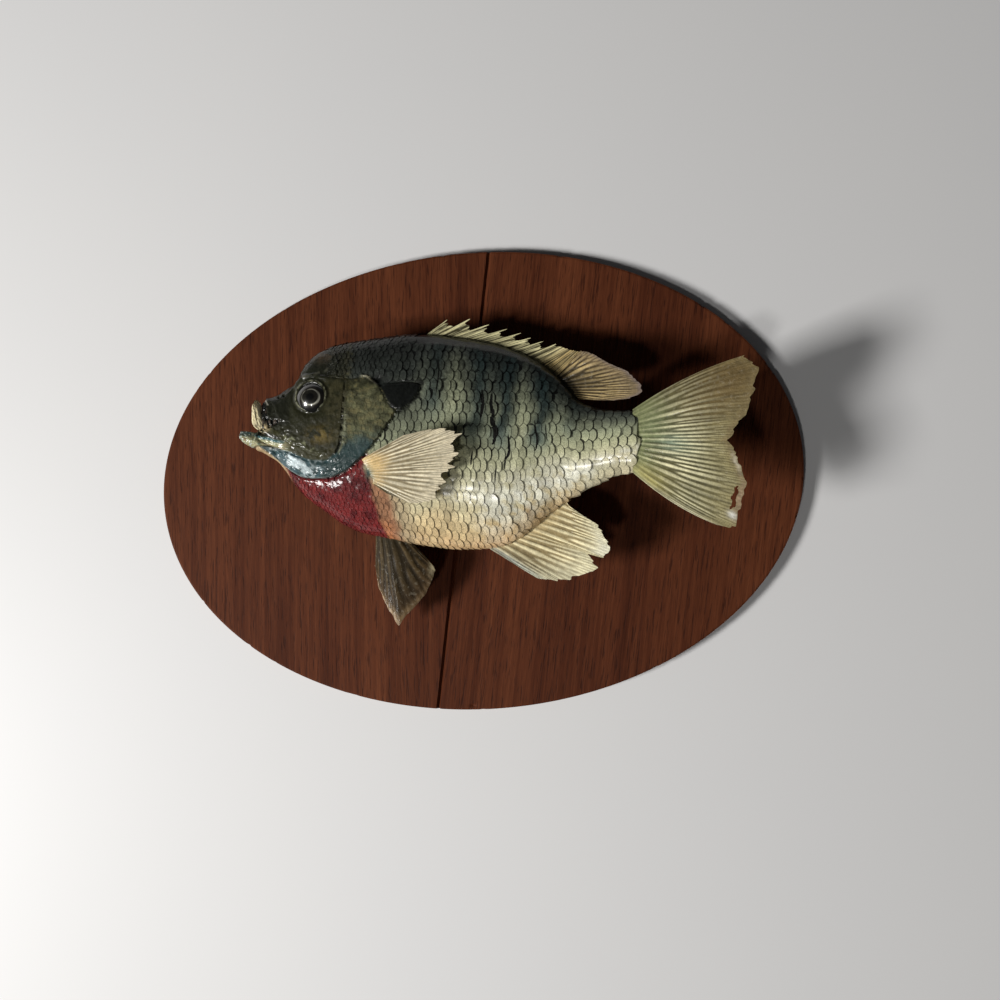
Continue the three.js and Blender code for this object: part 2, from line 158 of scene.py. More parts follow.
def sheetFaces(keep):
    # both faces of a thin sheet and the walls round it and its holes: keep says which cells of the grid stay
    cols = keep.shape[1] + 1
    under = (keep.shape[0] + 1) * cols
    i, j = np.nonzero(keep)
    a = i * cols + j
    b, c, d = a + 1, a + 1 + cols, a + cols
    around = np.pad(keep, 1)
    faces = [np.stack([a, b, c, d], -1), np.stack([d, c, b, a], -1) + under]
    for di, dj, p, q in ((-1, 0, a, b), (0, 1, b, c), (1, 0, c, d), (0, -1, d, a)):
        open_ = ~around[i + 1 + di, j + 1 + dj]
        faces.append(np.stack([q, p, p + under, q + under], -1)[open_])
    return np.concatenate(faces)


def outward(points, faces):
    # faces turned over if the closed mesh's volume comes out negative
    a, b, c = (points[faces[:, k]] for k in range(3))
    d = points[faces[:, -1]]
    volume = (a * np.cross(b, c)).sum() + ((a * np.cross(c, d)).sum() if faces.shape[1] == 4 else 0)
    return faces[:, ::-1] if volume < 0 else faces


def newPiece(name, points, faces, material, tint=None, extra=None, uv=None, fans=None, sharp=None, placed=False):
    # points are in fish millimetres unless placed; tint is colour and roughness; extra holds further values a vertex
    faces = outward(points, faces)
    used, index = np.unique(faces, return_inverse=True)
    faces = index.reshape(faces.shape).tolist() + ([] if fans is None else fans.tolist())
    if fans is not None:
        used = np.arange(len(points))
    mesh = bpy.data.meshes.new(name)
    mesh.from_pydata(points[used] if placed else place(points[used]), [], faces)
    if tint is not None:
        layer = mesh.color_attributes.new("tint", "FLOAT_COLOR", "POINT")
        layer.data.foreach_set("color", tint[used].astype(np.float32).ravel())
    for key, values in (extra or {}).items():
        layer = mesh.attributes.new(key, "FLOAT_VECTOR", "POINT")
        layer.data.foreach_set("vector", values[used].astype(np.float32).ravel())
    if uv is not None:
        loops = np.zeros(len(mesh.loops), int)
        mesh.loops.foreach_get("vertex_index", loops)
        layer = mesh.uv_layers.new(name="OFBake")
        layer.uv.foreach_set("vector", uv[used][loops].astype(np.float32).ravel())
    mesh.materials.append(material)
    mesh.shade_smooth()
    if sharp:
        mesh.set_sharp_from_angle(angle=math.radians(sharp))
    mesh.validate()
    piece = bpy.data.objects.new(name, mesh)
    bpy.context.scene.collection.objects.link(piece)
    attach(piece, "root")
    print(name, sum(len(face) - 2 for face in faces), "triangles")
    return piece


# Shader nodes written as sums

class Wire:
    # one output socket; arithmetic on wires adds Math nodes
    def __init__(self, board, socket):
        self.board, self.socket = board, socket

    def math(self, kind, *others):
        return self.board.add("ShaderNodeMath", {"operation": kind}, [self, *others])

    def __add__(self, other):
        return self.math("ADD", other)

    def __mul__(self, other):
        return self.math("MULTIPLY", other)

    def __sub__(self, other):
        return self.math("SUBTRACT", other)

    def __rsub__(self, other):
        return self.board.add("ShaderNodeMath", {"operation": "SUBTRACT"}, [other, self])

    def __truediv__(self, other):
        return self.math("DIVIDE", other)

    def __pow__(self, other):
        return self.math("POWER", other)

    __radd__ = __add__
    __rmul__ = __mul__

    def between(self, low, high):
        settings = {"interpolation_type": "SMOOTHSTEP"}
        return self.board.add("ShaderNodeMapRange", settings, {"Value": self, "From Min": low, "From Max": high})


class Finish:
    # one material, built node by node
    def __init__(self, name):
        self.data = bpy.data.materials.new(name)
        self.data.use_nodes = True
        self.tree = self.data.node_tree
        self.tree.nodes.clear()

    def add(self, kind, settings=None, inputs=None, output=0):
        node = self.tree.nodes.new(kind)
        for key, value in (settings or {}).items():
            if key == "stops":
                while len(node.color_ramp.elements) < len(value):
                    node.color_ramp.elements.new(1)
                for element, (position, colour) in zip(node.color_ramp.elements, value):
                    element.position = position
                    element.color = (*colour, 1)
            else:
                setattr(node, key, value)
        pairs = inputs.items() if isinstance(inputs, dict) else enumerate(inputs or [])
        for key, value in pairs:
            if isinstance(value, Wire):
                self.tree.links.new(value.socket, node.inputs[key])
            else:
                node.inputs[key].default_value = value
        return Wire(self, node.outputs[output])

    def object(self):
        return self.add("ShaderNodeTexCoord", output="Object")

    def attribute(self, name, output="Vector"):
        return self.add("ShaderNodeAttribute", {"attribute_name": name}, output=output)

    def parts(self, vector):
        node = self.add("ShaderNodeSeparateXYZ", inputs=[vector]).socket.node
        return [Wire(self, socket) for socket in node.outputs]

    def stretched(self, vector, scale, turn=0.0):
        return self.add("ShaderNodeMapping", inputs={"Vector": vector, "Scale": scale, "Rotation": (0, 0, turn)})

    def noise(self, vector, scale, detail=3.0, roughness=0.55, warp=0.0):
        values = {"Vector": vector, "Scale": scale, "Detail": detail, "Roughness": roughness, "Distortion": warp}
        return self.add("ShaderNodeTexNoise", inputs=values)

    def mixed(self, factor, a, b, kind="MIX"):
        settings = {"data_type": "RGBA", "blend_type": kind}
        full = lambda c: c if isinstance(c, Wire) else (*c, 1)
        return self.add("ShaderNodeMix", settings, {0: factor, 6: full(a), 7: full(b)}, output=2)

    def shaded(self, colour, amount):
        # a colour times a number
        return self.add("ShaderNodeVectorMath", {"operation": "SCALE"}, {"Vector": colour, "Scale": amount})

    def bump(self, height, strength, distance):
        return self.add("ShaderNodeBump", inputs={"Height": height, "Strength": strength, "Distance": distance})

    def surface(self, **values):
        names = {"colour": "Base Color", "roughness": "Roughness", "metallic": "Metallic", "normal": "Normal",
                 "coat": "Coat Weight", "coatRoughness": "Coat Roughness", "ior": "IOR",
                 "specular": "Specular IOR Level", "coatIor": "Coat IOR", "subsurface": "Subsurface Weight"}
        inputs = {names[key]: value for key, value in values.items()}
        shader = self.add("ShaderNodeBsdfPrincipled", inputs=inputs, output="BSDF")
        self.add_output(shader)
        return self.data

    def add_output(self, shader):
        node = self.tree.nodes.new("ShaderNodeOutputMaterial")
        self.tree.links.new(shader.socket, node.inputs["Surface"])


# The fish's own shape, all in millimetres. The solids have the same lines.

fish = {
    "back": [[-88.5, 33.2], [-84, 33.9], [-79, 35.2], [-74.5, 38.2], [-70.6, 41.2], [-68.7, 45], [-66.6, 49],
             [-61.3, 54.2], [-53.1, 57.2], [-44.8, 58.8], [-34.4, 60.3], [-23.9, 61.6], [-14, 61.7], [-4, 60.6],
             [4.7, 59.2], [14, 57.1], [22.4, 54], [29, 50.8], [35, 46.6], [40.5, 41], [45.6, 34.6], [51.5, 31],
             [59.6, 29], [66, 28.4], [72, 28.4]],
    "belly": [[-94, 18.2], [-92.2, 15.7], [-89, 13.7], [-84.6, 11.6], [-79.7, 8.4], [-76.5, 5.4], [-73.6, 1.9],
              [-70.7, -2.4], [-65.4, -8.2], [-57.2, -14.6], [-51, -19], [-44, -22.2], [-37.4, -23.8],
              [-28.1, -25.6], [-15.5, -27.8], [-2.8, -29], [8.6, -28.7], [17.7, -26.8], [25.6, -22],
              [33.3, -15.6], [40.5, -10], [46.6, -6.6], [55.5, -1.7], [63.6, 1.5], [72, 2.5]],
    "middle": [[-94, 37.5], [-65, 32], [-42, 28], [-17, 25.8], [10, 25.5], [35, 27.5], [55, 32.5], [72, 37.5],
               [95, 44], [118, 51.5]],
    "half": [[-94, 2], [-92.4, 4.2], [-89, 5.5], [-84, 6.7], [-79, 8], [-73, 10], [-65, 12.9], [-55, 15.4],
             [-45, 17.3], [-30, 18.8], [-15, 19], [0, 18.5], [15, 16.8], [30, 13.8], [42, 10.6], [52, 7.9],
             [60, 6.2], [66, 4.8], [72, 3]],
    "rightSwell": 1.07,  # the board side is a little fuller before the board flattens it
    "sectionPower": 0.54,  # 0.5 is an ellipse; more makes the back and belly edges sharper
    "floor": 6.7,  # the flattened side, just clear of the board
    "coat": 0.5,  # how deep the skin lies under the scales
    "jawTop": 20.3,
    "jawLine": [[-94, 20.3], [-88.5, 20], [-86, 19.1], [-83, 17.8], [-80, 17.3], [-77, 16.4], [-73.5, 15.8]],
    "jawHalf": 6.6,
    "lipWall": [-86, -84.4],  # where the snout's blunt front rises from the jaw
    "lipHollow": [-86, -81.4],  # the snout is sunken behind the bare upper lip
    "tailRoot": [[2.5, 69.2], [8.5, 70.5], [11.5, 71.3], [13.9, 72.2], [16.4, 72.4], [17.4, 71.1], [19.8, 71.1],
                 [24.7, 71.5], [28.2, 71.9]],  # y, x where the skin ends on the tail fin
}


def backAt(x):
    # the jaw's top up to the lip, then the back's line
    jaw = np.minimum(through(fish["belly"], x) + 7, fish["jawTop"])
    jaw = np.maximum(jaw, through(fish["belly"], x) + 1.2)
    return lerp(jaw, through(fish["back"], x), smooth(x, *fish["lipWall"]))


def bellyAt(x):
    return through(fish["belly"], x)


def middleAt(x):
    return through(fish["middle"], x)


def levelAt(x, y):
    # 0 on the belly's edge, 1 on the back's
    return (y - bellyAt(x)) / (backAt(x) - bellyAt(x))


def bodyPoints(x, turn, inset):
    # a station's section: turn 0 is the back, a quarter turn the left flank, half a turn the belly
    level, across = np.cos(turn), np.sin(turn)
    top, bottom = backAt(x), bellyAt(x)
    inset = inset * smooth(x, -74, -60)
    tall = np.maximum((top - bottom) / 2 - inset, 0.3)
    y = (top + bottom) / 2 + level * tall
    thick = np.maximum(through(fish["half"], x) - inset, 0.4) * np.where(across < 0, fish["rightSwell"], 1)
    thick = thick * lerp(1, 0.55, (1 - smooth(x, *fish["lipHollow"])) * smooth(y, 19.8, 21.4))
    rootY, rootX = np.array(fish["tailRoot"]).T
    thick = thick * (1 - 0.85 * smooth(x - np.interp(y, rootY, rootX), -1.1, 1.4))
    reach = np.abs(across) ** (2 * fish["sectionPower"]) * thick
    # the jaw keeps its own fuller section under the snout
    rim = np.interp(x, *np.array(fish["jawLine"]).T)
    jawLevel = np.clip((2 * y - rim - bottom) / (rim - bottom), -1, 1)
    jaw = np.minimum(fish["jawHalf"], through(fish["half"], x)) * (1 - jawLevel ** 2) ** fish["sectionPower"]
    jaw = jaw * smooth(x, -70, -79)
    z = middleAt(x) + np.sign(across) * np.maximum(reach, jaw)
    return np.stack([x + 0 * z, y, np.maximum(z, fish["floor"])], -1)


# Lines and places on the head and body, seen square on to the flank
marks = {
    "eye": [-61.9, 34.4], "eyeRing": [6.6, 6.3],
    "cheekGroove": [[-47.6, 40.5], [-47.7, 38], [-47.7, 33.1], [-48, 28], [-48.1, 24.2], [-48.5, 19.3],
                    [-49.3, 14.1], [-51, 11]],
    "coverEdge": [[-62, 42.6], [-47.6, 41.4], [-41, 41.8], [-36, 39.8], [-31.5, 36], [-27.4, 30.8], [-25.6, 28.8], [-31.2, 20.1], [-36.6, 12.9], [-41.6, 8], [-47.8, 3.2],
                  [-56.1, 0.7], [-64.5, 0.8], [-68.7, 2.4], [-73.8, 5.7], [-78.5, 9.4]],
    "earFlap": [[-32.6, 38.1], [-25, 38.9], [-17.9, 38.5], [-16.9, 35.9], [-19.9, 31.5], [-24.4, 27.9],
                [-28.5, 30], [-31.4, 34.8]],
    "maxilla": [[-81.8, 33.3], [-78.4, 31.2], [-76.3, 27], [-74.6, 24.6], [-71.7, 23.9], [-69, 22]],
    "jawRim": [[-93.4, 20.2], [-92, 20.3], [-88.5, 19.9], [-86, 19], [-83, 17.8], [-80, 17.3], [-77, 16.4],
               [-73.5, 15.8]],
    "jawBand": [[-93.5, 11.8], [-88.6, 12.4], [-85.8, 13.6], [-82, 14.3], [-77.5, 13.6], [-71.2, 11.5], [-66.9, 9.6],
                [-62.7, 8.1], [-57.5, 7.6], [-54.3, 8.1], [-51.8, 10.1]],
    "cheekFold": [[-72, 17.2], [-69, 15.4], [-66, 15], [-63, 12.6], [-59.5, 11], [-55.5, 11.2]],
    "brow": [[-72.5, 35.5], [-70, 39], [-66.5, 41.6], [-61, 42.6], [-55.5, 41.4], [-51, 40.6], [-47.6, 40.5]],
    "topBone": [[-41.5, 41.9], [-39.4, 42.2], [-37.4, 41], [-35.2, 39.6], [-33.6, 37.4]],
    # the next path is the line of a painted highlight along the low flank
    "lowHighlightRow": [[-24, -3.4], [-14.8, -4.2], [7.6, -7.4], [20, -7.6], [29, -2.6], [47.6, 4.6], [60, 8.6], [70, 11.4]],
    "slit": [[-73.2, 4.3], [-71.6, 3.2], [-69.6, 2.2]],
    "hollow": [-34.6, 41.2],
    "crimsonEnd": [[-38, 9], [-38.8, 5.5], [-38, 2], [-37, -3], [-36, -6.6], [-34.8, -13], [-33.4, -19.5],
                   [-33, -27], [-33, -40]],
    "foreheadCrease": [[-51.7, 48.4], [-55.5, 45.4], [-59.6, 43.9], [-65.5, 42]],
    "lipTorn": [[-87, 34.5], [-83.6, 34.5], [-82.2, 31.5], [-81, 29], [-80, 25.6], [-75.9, 24.9], [-75.4, 23.4],
                [-79, 21.6], [-87, 20.8]],
    "lipStreak": [[-83.4, 33.7], [-82.4, 33], [-80.9, 31.2]],
}
paths = {key: rounded(value, closed=key in ("earFlap", "lipTorn")) for key, value in marks.items()
         if key not in ("eye", "eyeRing", "hollow", "lowHighlightRow")}
# Splits in the dried skin: the line, and its half-width in the middle
splits = [
    ([[8.2, 36.6], [8.6, 30.1], [7.9, 24.4]], 0.75),
    ([[12.3, 35], [11.9, 31.3], [12.6, 27], [12.3, 23.7], [13.8, 19.5], [13.4, 15.7], [12.3, 13.6]], 1.0),
    ([[18.9, 18.4], [19.3, 13.7], [19.1, 10.2], [17.8, 8.1], [17.4, 3.6]], 0.6),
    ([[29.4, 24.4], [29.9, 19.5], [30.5, 16.1], [30.1, 12.8], [29.2, 11]], 0.45),
    ([[33.8, 22.6], [34, 18.6], [34.6, 14.8]], 0.3),
    ([[4.8, 11.6], [4.3, 8.5], [4, 5.4]], 0.4),
    ([[14.3, 5.2], [13.7, 1.7], [13.5, -1.8]], 0.34),
    ([[-10.4, 51], [-9.4, 43.4], [-10.3, 33.4]], 0.34),
    ([[71.9, 28.8], [71.5, 24.7], [71.1, 19.8], [71.1, 17.4], [72.6, 16.4], [72.3, 13.9], [71.3, 11.5], [70.4, 7.6]], 0.5),
]


def splitField(x, y):
    # the nearest split's sideways distance and its half-width there, as shaders draw it
    nearest = np.full(np.shape(x), 1e9)
    distance, halfWidth = np.full(np.shape(x), 9.0), np.full(np.shape(x), -1.0)
    for line, width in splits:
        d, along = nearPath(x, y, rounded(line))
        closer = np.abs(d) < nearest
        nearest = np.where(closer, np.abs(d), nearest)
        distance = np.where(closer, d, distance)
        swell = width * np.sqrt(np.clip(4 * along * (1 - along), 0, 1)) - np.where((along <= 0) | (along >= 1), 9, 0.03)
        halfWidth = np.where(closer, swell, halfWidth)
    # far from every split the width is negative, so that no line shows where the nearest one changes
    return distance, np.where(nearest > 1.35, -3, halfWidth)


def fields(x, y):
    # every distance that the relief and the colours share, worked out once for a set of places
    f = {key: nearPath(x, y, path) for key, path in paths.items()}
    ex, ey = marks["eye"]
    rx, ry = marks["eyeRing"]
    f["eye"] = np.hypot((x - ex) / rx, (y - ey) / ry) * 7
    f["hollow"] = np.hypot((x - marks["hollow"][0]) / 2.6, (y - marks["hollow"][1]) / 2)
    f["split"] = splitField(x, y)
    cover = f["coverEdge"][0]
    # the line runs from the ear flap down and forward, so the gill cover is on its right
    f["onCover"] = smooth(-cover, -0.05, 0.25) * smooth(y, -12, -11) * (x < -20)
    f["crack"] = smooth(y, 29.5, 26)  # the cover stands off the body only along its lower and rear edge
    f["flap"] = smooth(-f["earFlap"][0], -0.05, 0.3) * bell(np.maximum(np.hypot(x + 25, y - 34) - 12, 0), 1)
    return f


def relief(x, y, f, splitDepth):
    # how far the skin stands out of the plain body, in millimetres
    r = f["eye"]
    high = -2.6 * (1 - smooth(r, 4.7, 5.9)) + 0.35 * bell(r - 6.9, 0.45) - 0.3 * bell(r - 8.4, 0.8)
    high += 0.2 * bell(r - 6.2, 0.2)
    groove, along = f["cheekGroove"]
    open_ = smooth(along, 0, 0.45)
    high += 0.2 * open_ * bell(groove - 0.75, 0.4) - (0.25 + 0.75 * open_) * bell(groove, 0.36)
    cover = f["coverEdge"][0]
    edge = bell(np.minimum(-cover, 0), 0.2) * bell(np.maximum(-cover - 1.5, 0), 5)
    high += (0.05 + 0.45 * f["crack"]) * edge * f["onCover"]
    high -= f["crack"] * (1.4 * bell(cover - 0.3, 0.3) + 0.5 * smooth(cover, -0.1, 0.1) * bell(cover, 2.4))
    flap = f["earFlap"][0]
    high += 0.8 * f["flap"] * smooth(x, -34, -24) - 0.6 * bell(flap - 0.5, 0.5) * (1 - f["onCover"])
    high += 0.12 * f["flap"] * np.sin((x - 0.6 * y) * 2.2)
    high -= 1.6 * bell(f["hollow"], 0.9)
    high += 0.35 * bell(f["topBone"][0], 0.4) - 0.3 * bell(f["topBone"][0] - 0.9, 0.45)
    lip = f["maxilla"][0]  # the line runs back and down: its right is the lip's side
    before = smooth(-lip, -0.2, 0.5) * bell(np.maximum(-lip - 3, 0), 3) * smooth(x, -72, -74)
    high += 0.1 * bell(lip - 0.5, 0.6) - 0.3 * before
    high += before * 0.3 * (mottle(x, y, 1.1, 8) - 0.5)
    torn = smooth(-f["lipTorn"][0], -0.3, 0.4)
    high += torn * (0.9 * (mottle(x * 1.6, y, 1.1, 14) - 0.5) - 0.5) * smooth(x, -86.2, -85.4)
    high += 0.25 * bell(f["lipStreak"][0], 0.3)
    rim, rimAlong = f["jawRim"]
    mouth = smooth(rimAlong, 0.75, 0.4)
    high += mouth * (0.25 * bell(rim + 0.3, 0.5) - 1.8 * smooth(x, -86.3, -85.3) * bell(rim - 0.9, 0.6))
    band = f["jawBand"][0]
    high += 0.2 * bell(band + 1.2, 0.7) - 0.55 * bell(band + 0.1, 0.3)
    blue = smooth(band, 0.4, -0.4) * smooth(-cover, 0.3, 1) * smooth(x, -45, -50)
    high += blue * 0.12 * np.sin(2 * np.pi * (-cover) / 1.7 + 1.2 * mottle(x, y, 4, 3))
    high += blue * (0.22 * (mottle(x, y, 0.9, 5) - 0.5) + 0.3 * (mottle(x, y, 2.2, 6) - 0.5))
    fold = f["cheekFold"][0]
    high += 0.2 * bell(fold, 0.6) - 0.16 * bell(fold + 1.1, 0.5)
    wrinkled = bell(np.maximum(np.abs(fold) - 2, 0), 1)
    high += wrinkled * 0.22 * (mottle(x * 0.6 + y, y - 0.4 * x, 0.9, 7) - 0.5)
    high += 0.2 * bell(f["foreheadCrease"][0], 0.5) - 0.2 * bell(f["foreheadCrease"][0] - 1.1, 0.6)
    high += 0.3 * bell(f["brow"][0], 0.9) - 0.2 * bell(f["brow"][0] - 1.8, 0.9)
    high -= 0.8 * bell(f["slit"][0], 0.35)
    soft = smooth(x, -28, -40)
    high += soft * 0.42 * (cloud(x, y, 1.9, 11) - 0.5)
    for nx, ny in ((-76.8, 34), (-74.4, 34.6)):  # nostrils
        d = np.hypot(x - nx, y - ny)
        high += 0.2 * bell(d - 0.9, 0.3) - 0.7 * bell(d, 0.45)
    distance, halfWidth = f["split"]
    high -= splitDepth * smooth(halfWidth + 0.3 - np.abs(distance), 0, 0.5)
    jaw = smooth(rim, 0, -0.5) * smooth(band, -0.6, 0) * smooth(x, -68, -75)
    high += jaw * 0.3 * (mottle(0.4 * x + 0.2 * y, 1.6 * y + 0.3 * x, 0.9, 9) - 0.5)
    level = levelAt(x, y)
    high -= 0.5 * smooth(level, 0.93, 0.97) * smooth(x, -22, -10)
    return high


def skinPoints(x, turn, splitDepth=0.7):
    # the body's point, moved along its normal by the relief; the normal crosses two small steps on the body
    step = 0.02
    inset = fish["coat"]
    p = bodyPoints(x, turn, inset)
    alongX = bodyPoints(x + step, turn, inset) - bodyPoints(x - step, turn, inset)
    alongTurn = bodyPoints(x, turn + step, inset) - bodyPoints(x, turn - step, inset)
    normal = np.cross(alongTurn, alongX)
    normal /= np.linalg.norm(normal, axis=-1, keepdims=True) + 1e-9
    f = fields(p[..., 0], p[..., 1])
    fade = smooth(x, -95, -92)
    high = relief(p[..., 0], p[..., 1], f, splitDepth) * fade
    # the mouth's floor is hollow between the jaw's rims
    jaw = smooth(x, -83.6, -84.6) * smooth(x, -91.6, -90) * smooth(np.cos(turn), 0.86, 0.97)
    high -= 1.4 * jaw
    out = p + normal * high[..., None]
    out[..., 2] = np.maximum(out[..., 2], fish["floor"] - 0.2)
    return out, normal, f


colours = {
    "flank": [(0.0, [.62, .42, .22]), (.1, [.6, .46, .25]), (.2, [.6, .53, .33]), (.3, [.6, .57, .385]),
              (.4, [.46, .455, .285]), (.5, [.36, .37, .23]), (.6, [.28, .3, .195]), (.68, [.18, .195, .13]),
              (.76, [.095, .105, .077]), (.86, [.036, .042, .036]), (1.0, [.018, .021, .018])],
    "bar": [.02, .036, .036], "teal": [.07, .125, .13],
    "breast": [.165, .019, .019], "breastDark": [.08, .01, .012], "breastEnd": [.3, .15, .08],
    "headTop": [.02, .021, .014], "cover": [.098, .098, .05], "coverLow": [.055, .095, .08],
    # the pale colour after the blue one is a painted highlight on the blue band
    "coverSpot": [.19, .165, .075], "blue": [.055, .105, .12], "blueHighlight": [.66, .76, .78],
    "cheek": [.025, .025, .012], "cheekPatch": [.16, .115, .03],
    "cheekPale": [.3, .31, .19], "snout": [.017, .018, .011], "black": [.005, .006, .005],
    "ear": [.007, .008, .007], "jaw": [.42, .41, .23], "jawEdge": [.05, .13, .14], "jawBrown": [.3, .2, .12],
    # the last colour is a painted highlight on the bone tip
    "bone": [.5, .46, .3],
}


def fishColour(x, y, f):
    # colour and roughness of skin and scales alike, laid over each other from back to belly and tail to snout
    level = levelAt(x, y)
    wobble = 0.05 * (mottle(x, y, 7, 21) - 0.5) + 0.04 * (mottle(x, y, 2.6, 22) - 0.5)
    places, values = zip(*colours["flank"])
    values = np.array(values)
    shift = 0.03 * smooth(x, 0, -25) - 0.06 * smooth(x, 40, 55) + 0.12 * smooth(x, -6, -26) * smooth(y, 6, 18)
    shift = shift - 0.12 * bell(x + 3, 4.5) * smooth(y, 24, 32) - 0.09 * bell(x + 17, 5) * smooth(y, 30, 36)
    shift = shift - 0.09 * bell(x - 24.6, 3) * smooth(y, 10, 20) - 0.06 * smooth(x, -20, -26) * smooth(y, 36, 42)
    tone = np.clip(level + wobble + shift, 0, 1)
    c = np.stack([np.interp(tone, places, values[:, k]) for k in range(3)], -1)
    c = c * (1 + 0.2 * smooth(x, 30, 50))[..., None]
    stalkBelly = smooth(x, 38, 52) * smooth(level, 0.34, 0.2)
    c = paint(c, [.6, .58, .4], 0.8 * stalkBelly)
    ragged = 3 * (cloud(x, y, 3.2, 56) - 0.5)
    for barX, half, low, strength in ((-12, 2.6, .6, .4), (6, 3, .5, .8), (17.2, 3.3, .47, .9), (32, 3.4, .45, .92),
                                      (44, 2.4, .56, .45)):
        lean = barX + 2.4 * (mottle(y, 0 * y, 9, 31) - 0.5) + 0.06 * (y - 30)
        taper = lerp(0.55, 1.15, smooth(level, low, 0.75))
        mask = bell(x - lean + ragged, half * taper) * smooth(level + wobble, low, low + 0.12)
        c = paint(c, colours["teal"], 0.75 * strength * bell(x - lean, 1.5 * half) * bell(level - low - 0.06, 0.08))
        c = paint(c, colours["bar"], strength * mask)
    # the back is stippled with black
    stipple = smooth(cloud(x, y, 0.8, 57), 0.62, 0.4) * smooth(level + wobble, 0.55, 0.8) * smooth(x, -45, -38)
    c = paint(c, colours["black"], 0.45 * stipple * smooth(x, 62, 50))
    pale = bell(level - 0.2, 0.13) * smooth(x, 0, 14) * smooth(x, 60, 46)
    c = paint(c, [.85, .86, .74], 0.7 * pale * smooth(cloud(x, y, 2.2, 58), 0.3, 0.6))
    patch = bell(np.hypot((x - 26.5) / 1.4, (y + 13) / 3), 1)
    c = paint(c, [.3, .17, .07], 0.6 * patch)
    rough = np.full(np.shape(x), 0.36)
    edge = f["crimsonEnd"][0]
    breast = smooth(edge + 2.6 * (cloud(x, y, 3, 53) - 0.5), 0.7, -0.9) * (x < -20) * (1 - f["onCover"]) * smooth(y, 12, 9)
    rearward = smooth(edge + 2 * (mottle(x, y, 2.2, 32) - 0.5), 9, 4.5) * smooth(y, 4, -3) * (x < -15)
    c = paint(c, [.36, .28, .17], 0.8 * smooth(edge, 17, 9) * smooth(y, 8, 0) * (x < -10) * (1 - f["onCover"]))
    c = paint(c, colours["breastEnd"], rearward * (1 - f["onCover"]))
    low = smooth(y, -14, -21) * bell(np.maximum(edge - 1, 0), 3) * (x < -20)
    c = paint(c, [.5, .19, .08], 0.8 * low * (1 - f["onCover"]))
    red = paint(np.broadcast_to(colours["breast"], (*np.shape(x), 3)), colours["breastDark"],
                0.75 * smooth(mottle(x, y, 3.5, 33) + 0.5 * mottle(x, y, 1.2, 34), 0.55, 1.1))
    c = lerp(c, red, breast[..., None])
    rough = lerp(rough, 0.26, breast)
    head = np.maximum(f["onCover"], smooth(x, -44, -49) * smooth(y, 36, 40))
    head = np.maximum(head, smooth(x, -50, -55) * smooth(-f["coverEdge"][0], -0.4, 0.2))
    down = smooth(y, 24, 6)
    cover = paint(np.broadcast_to(colours["cover"], (*np.shape(x), 3)), colours["coverLow"], down)
    cover = paint(cover, colours["headTop"], smooth(y, 34, 44))
    specks = cloud(x, y, 1.3, 35)
    cover = cover * (0.3 + 1.5 * cloud(x, y, 2.4, 45))[..., None]
    cover = paint(cover, colours["coverSpot"], 0.7 * smooth(y, 10, 18) * smooth(specks, 0.56, 0.72))
    cover = paint(cover, colours["cheek"], 0.7 * smooth(specks, 0.42, 0.3))
    c = lerp(c, cover, head[..., None])
    groove = f["cheekGroove"][0] + 3 * (cloud(x, y, 2.2, 46) - 0.5)
    front = head * smooth(groove, 3.2, -1.2) * smooth(x, -41, -45)
    c = paint(c, colours["cheek"], front)
    c = paint(c, [.062, .056, .028], 0.75 * front * smooth(x, -58, -52) * smooth(cloud(x, y, 1.8, 59), 0.25, 0.6))
    c = paint(c, colours["headTop"], smooth(x, -38, -52) * smooth(y, 38, 45) * head)
    c = paint(c, colours["cheekPatch"], 
              bell(np.hypot((x + 57.5) / 4.5, (y - 18) / 3), 1) * front * smooth(cloud(x, y, 1.6, 47), 0.3, 0.6))
    c = paint(c, colours["snout"], smooth(x, -68, -73) * smooth(y, 21, 23))
    fold = f["cheekFold"][0]
    pale = bell(np.maximum(np.abs(fold - 0.4) - 0.8, 0), 0.6) * front * smooth(x, -57, -63)
    c = paint(c, colours["cheekPale"], 0.9 * pale * smooth(mottle(x * 0.6 + y, y - 0.4 * x, 0.8, 7), 0.5, 0.8))
    c = paint(c, [.07, .068, .03], 0.6 * smooth(fold, 2.5, -1) * front * smooth(x, -52, -58))
    band = f["jawBand"][0]
    fading = smooth(y + 5 * (cloud(x, y, 3, 48) - 0.5), 21, 9)
    blue = smooth(band, 0.6, -0.3) * smooth(-f["coverEdge"][0], -0.2, 0.6) * head * fading
    depth = smooth(-f["coverEdge"][0], 7.5, 3)
    steel = np.maximum(blue * 0.95, 0.85 * depth * smooth(x, -44, -56) * head * smooth(y, 14, 8))
    c = paint(c, colours["blue"], steel)
    c = paint(c, [.028, .045, .04], 0.8 * steel * smooth(cloud(x, y, 1.9, 38) + 0.5 * smooth(x, -66, -46), 0.5, 0.8))
